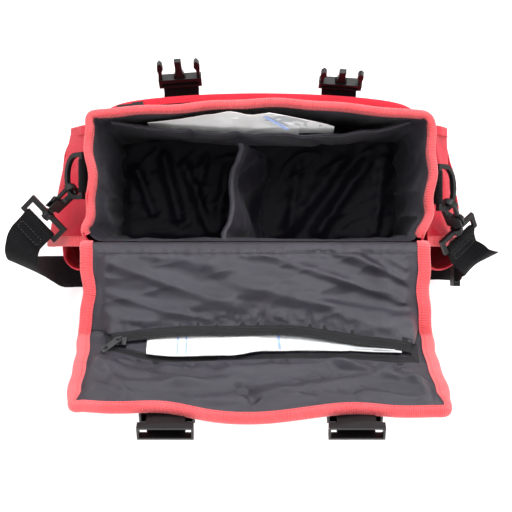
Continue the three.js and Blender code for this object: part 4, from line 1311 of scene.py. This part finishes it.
def make_strap_ends():
    """The strap comes through each swivel's frame, folds back over its bar and is sewn to itself."""
    for name, (o, x, y, z) in CLIPS.items():
        path = curve([o + x * a + z * c for a, c in STRAP_LOOP], 3, 60)
        lay(f"strap_loop_{name}", path, y, f"ring_{name}", [f"strap_end_{name}"])
        lines = box_stitch(o + x * 62.5 + z * 0.6, y, x, z, 29, 8, 1.0)[:4]
        sew(f"strap_loop_stitching_{name}", lines, black_thread, f"ring_{name}", "black_webbing")


def make_ring_tabs():
    """A loop of webbing holds each ring's straight bar and is sewn down the side wall."""
    for side, name in SIDES:
        y = 4 if side < 0 else -8
        wall = HALF + 1.3
        knots = [
            (wall, 184), (wall, 204), (wall + 1.0, 213), (wall + 5.7, 215.6), (wall + 9.8, 211),
            (wall + 6.5, 206), (wall + 2.6, 204), (wall + 2.2, 198), (wall + 2.2, 184)
        ]
        p = curve(knots, 3, 60)
        path = points(side * p[:, 0], y, p[:, 1])
        lay(f"ring_web_{name}", path, (0, 1, 0), "bag", [f"d_ring_tab_{name}"], width=34.0, thick=1.5)
        lines = box_stitch((side * (wall + 2.2), y, 194), (0, 1, 0), (0, 0, 1), (side, 0, 0), 27, 14, 0.9)
        sew(f"ring_web_stitching_{name}", lines, black_thread, slot="black_webbing")


# ---------------------------------------------------------------- moulded hardware: CAD shapes with softened edges
KINDS = (
    "female_buckle", "male_buckle", "d_ring_l", "d_ring_r", "snap_hook", "hook_bolt", "swivel_eye",
    "strap_adjuster", "zip_slider", "zip_pull", "front_zip_slider"
)
HARDWARE = [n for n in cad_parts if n.startswith(KINDS)]
EDGE_ANGLE = math.radians(38)


def finish_hardware():
    for name in HARDWARE:
        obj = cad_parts[name]
        obj.data.materials.clear()
        obj.data.materials.append(coil if "zip" in name else plastic)
        obj.data.polygons.foreach_set("use_smooth", [True] * len(obj.data.polygons))
        obj.data.set_sharp_from_angle(angle=EDGE_ANGLE)
        round_off = obj.modifiers.new("edges", "BEVEL")
        round_off.width = 0.0005 if "buckle" in name or "adjuster" in name else 0.00025
        round_off.segments = 2
        round_off.limit_method = "ANGLE"
        round_off.angle_limit = EDGE_ANGLE


# ---------------------------------------------------------------- light and floor
def make_studio():
    half = 3000
    corners = [(-half, -half, 0), (half, -half, 0), (half, half, 0), (-half, half, 0)]
    pale = plain("floor", (0.92, 0.92, 0.92), (0.96, 0.96, 0.96), 0.7, 2, 0.0)
    floor = link("floor", corners, [[0, 1, 2, 3]], pale)
    floor.location.z = -0.0002
    world = bpy.data.worlds.new("world")
    bpy.context.scene.world = world
    world.use_nodes = True
    colour, strength = world.node_tree.nodes["Background"].inputs[:2]
    colour.default_value, strength.default_value = (1, 1, 1, 1), 0.32
    # each lamp's place and size in metres, and its power in watts
    lamps = (
        ("key", (0.1, 1.25, 1.15), 1.3, 42), ("fill_left", (-1.35, -0.1, 0.95), 1.2, 12),
        ("fill_right", (1.35, 0.1, 0.95), 1.2, 16), ("near", (0.0, -1.4, 0.8), 1.4, 22),
        ("top", (0.1, 0.35, 1.9), 1.0, 4)
    )
    for name, at, size, power in lamps:
        data = bpy.data.lights.new(name, "AREA")
        data.shape = "SQUARE"
        data.size = size
        data.energy = power
        lamp = bpy.data.objects.new(name, data)
        lamp.location = at
        lamp.rotation_euler = (Vector((0, -0.05, 0.12)) - Vector(at)).to_track_quat("-Z", "Y").to_euler()
        bpy.context.scene.collection.objects.link(lamp)
    bpy.context.scene.view_settings.view_transform = "Standard"


make_shell()
make_lining()
make_rim()
make_divider()
make_slip_pocket()
make_front_pocket()
for side, name in SIDES:
    make_side_pocket(side, name)
    make_side_cover(side, name)
make_lid_shell()
make_lid_binding()
make_lid_lining()
make_lid_zip()
make_packets()
make_body_straps()
make_male_tails()
make_shoulder_strap()
make_strap_ends()
make_ring_tabs()
finish_hardware()
make_studio()
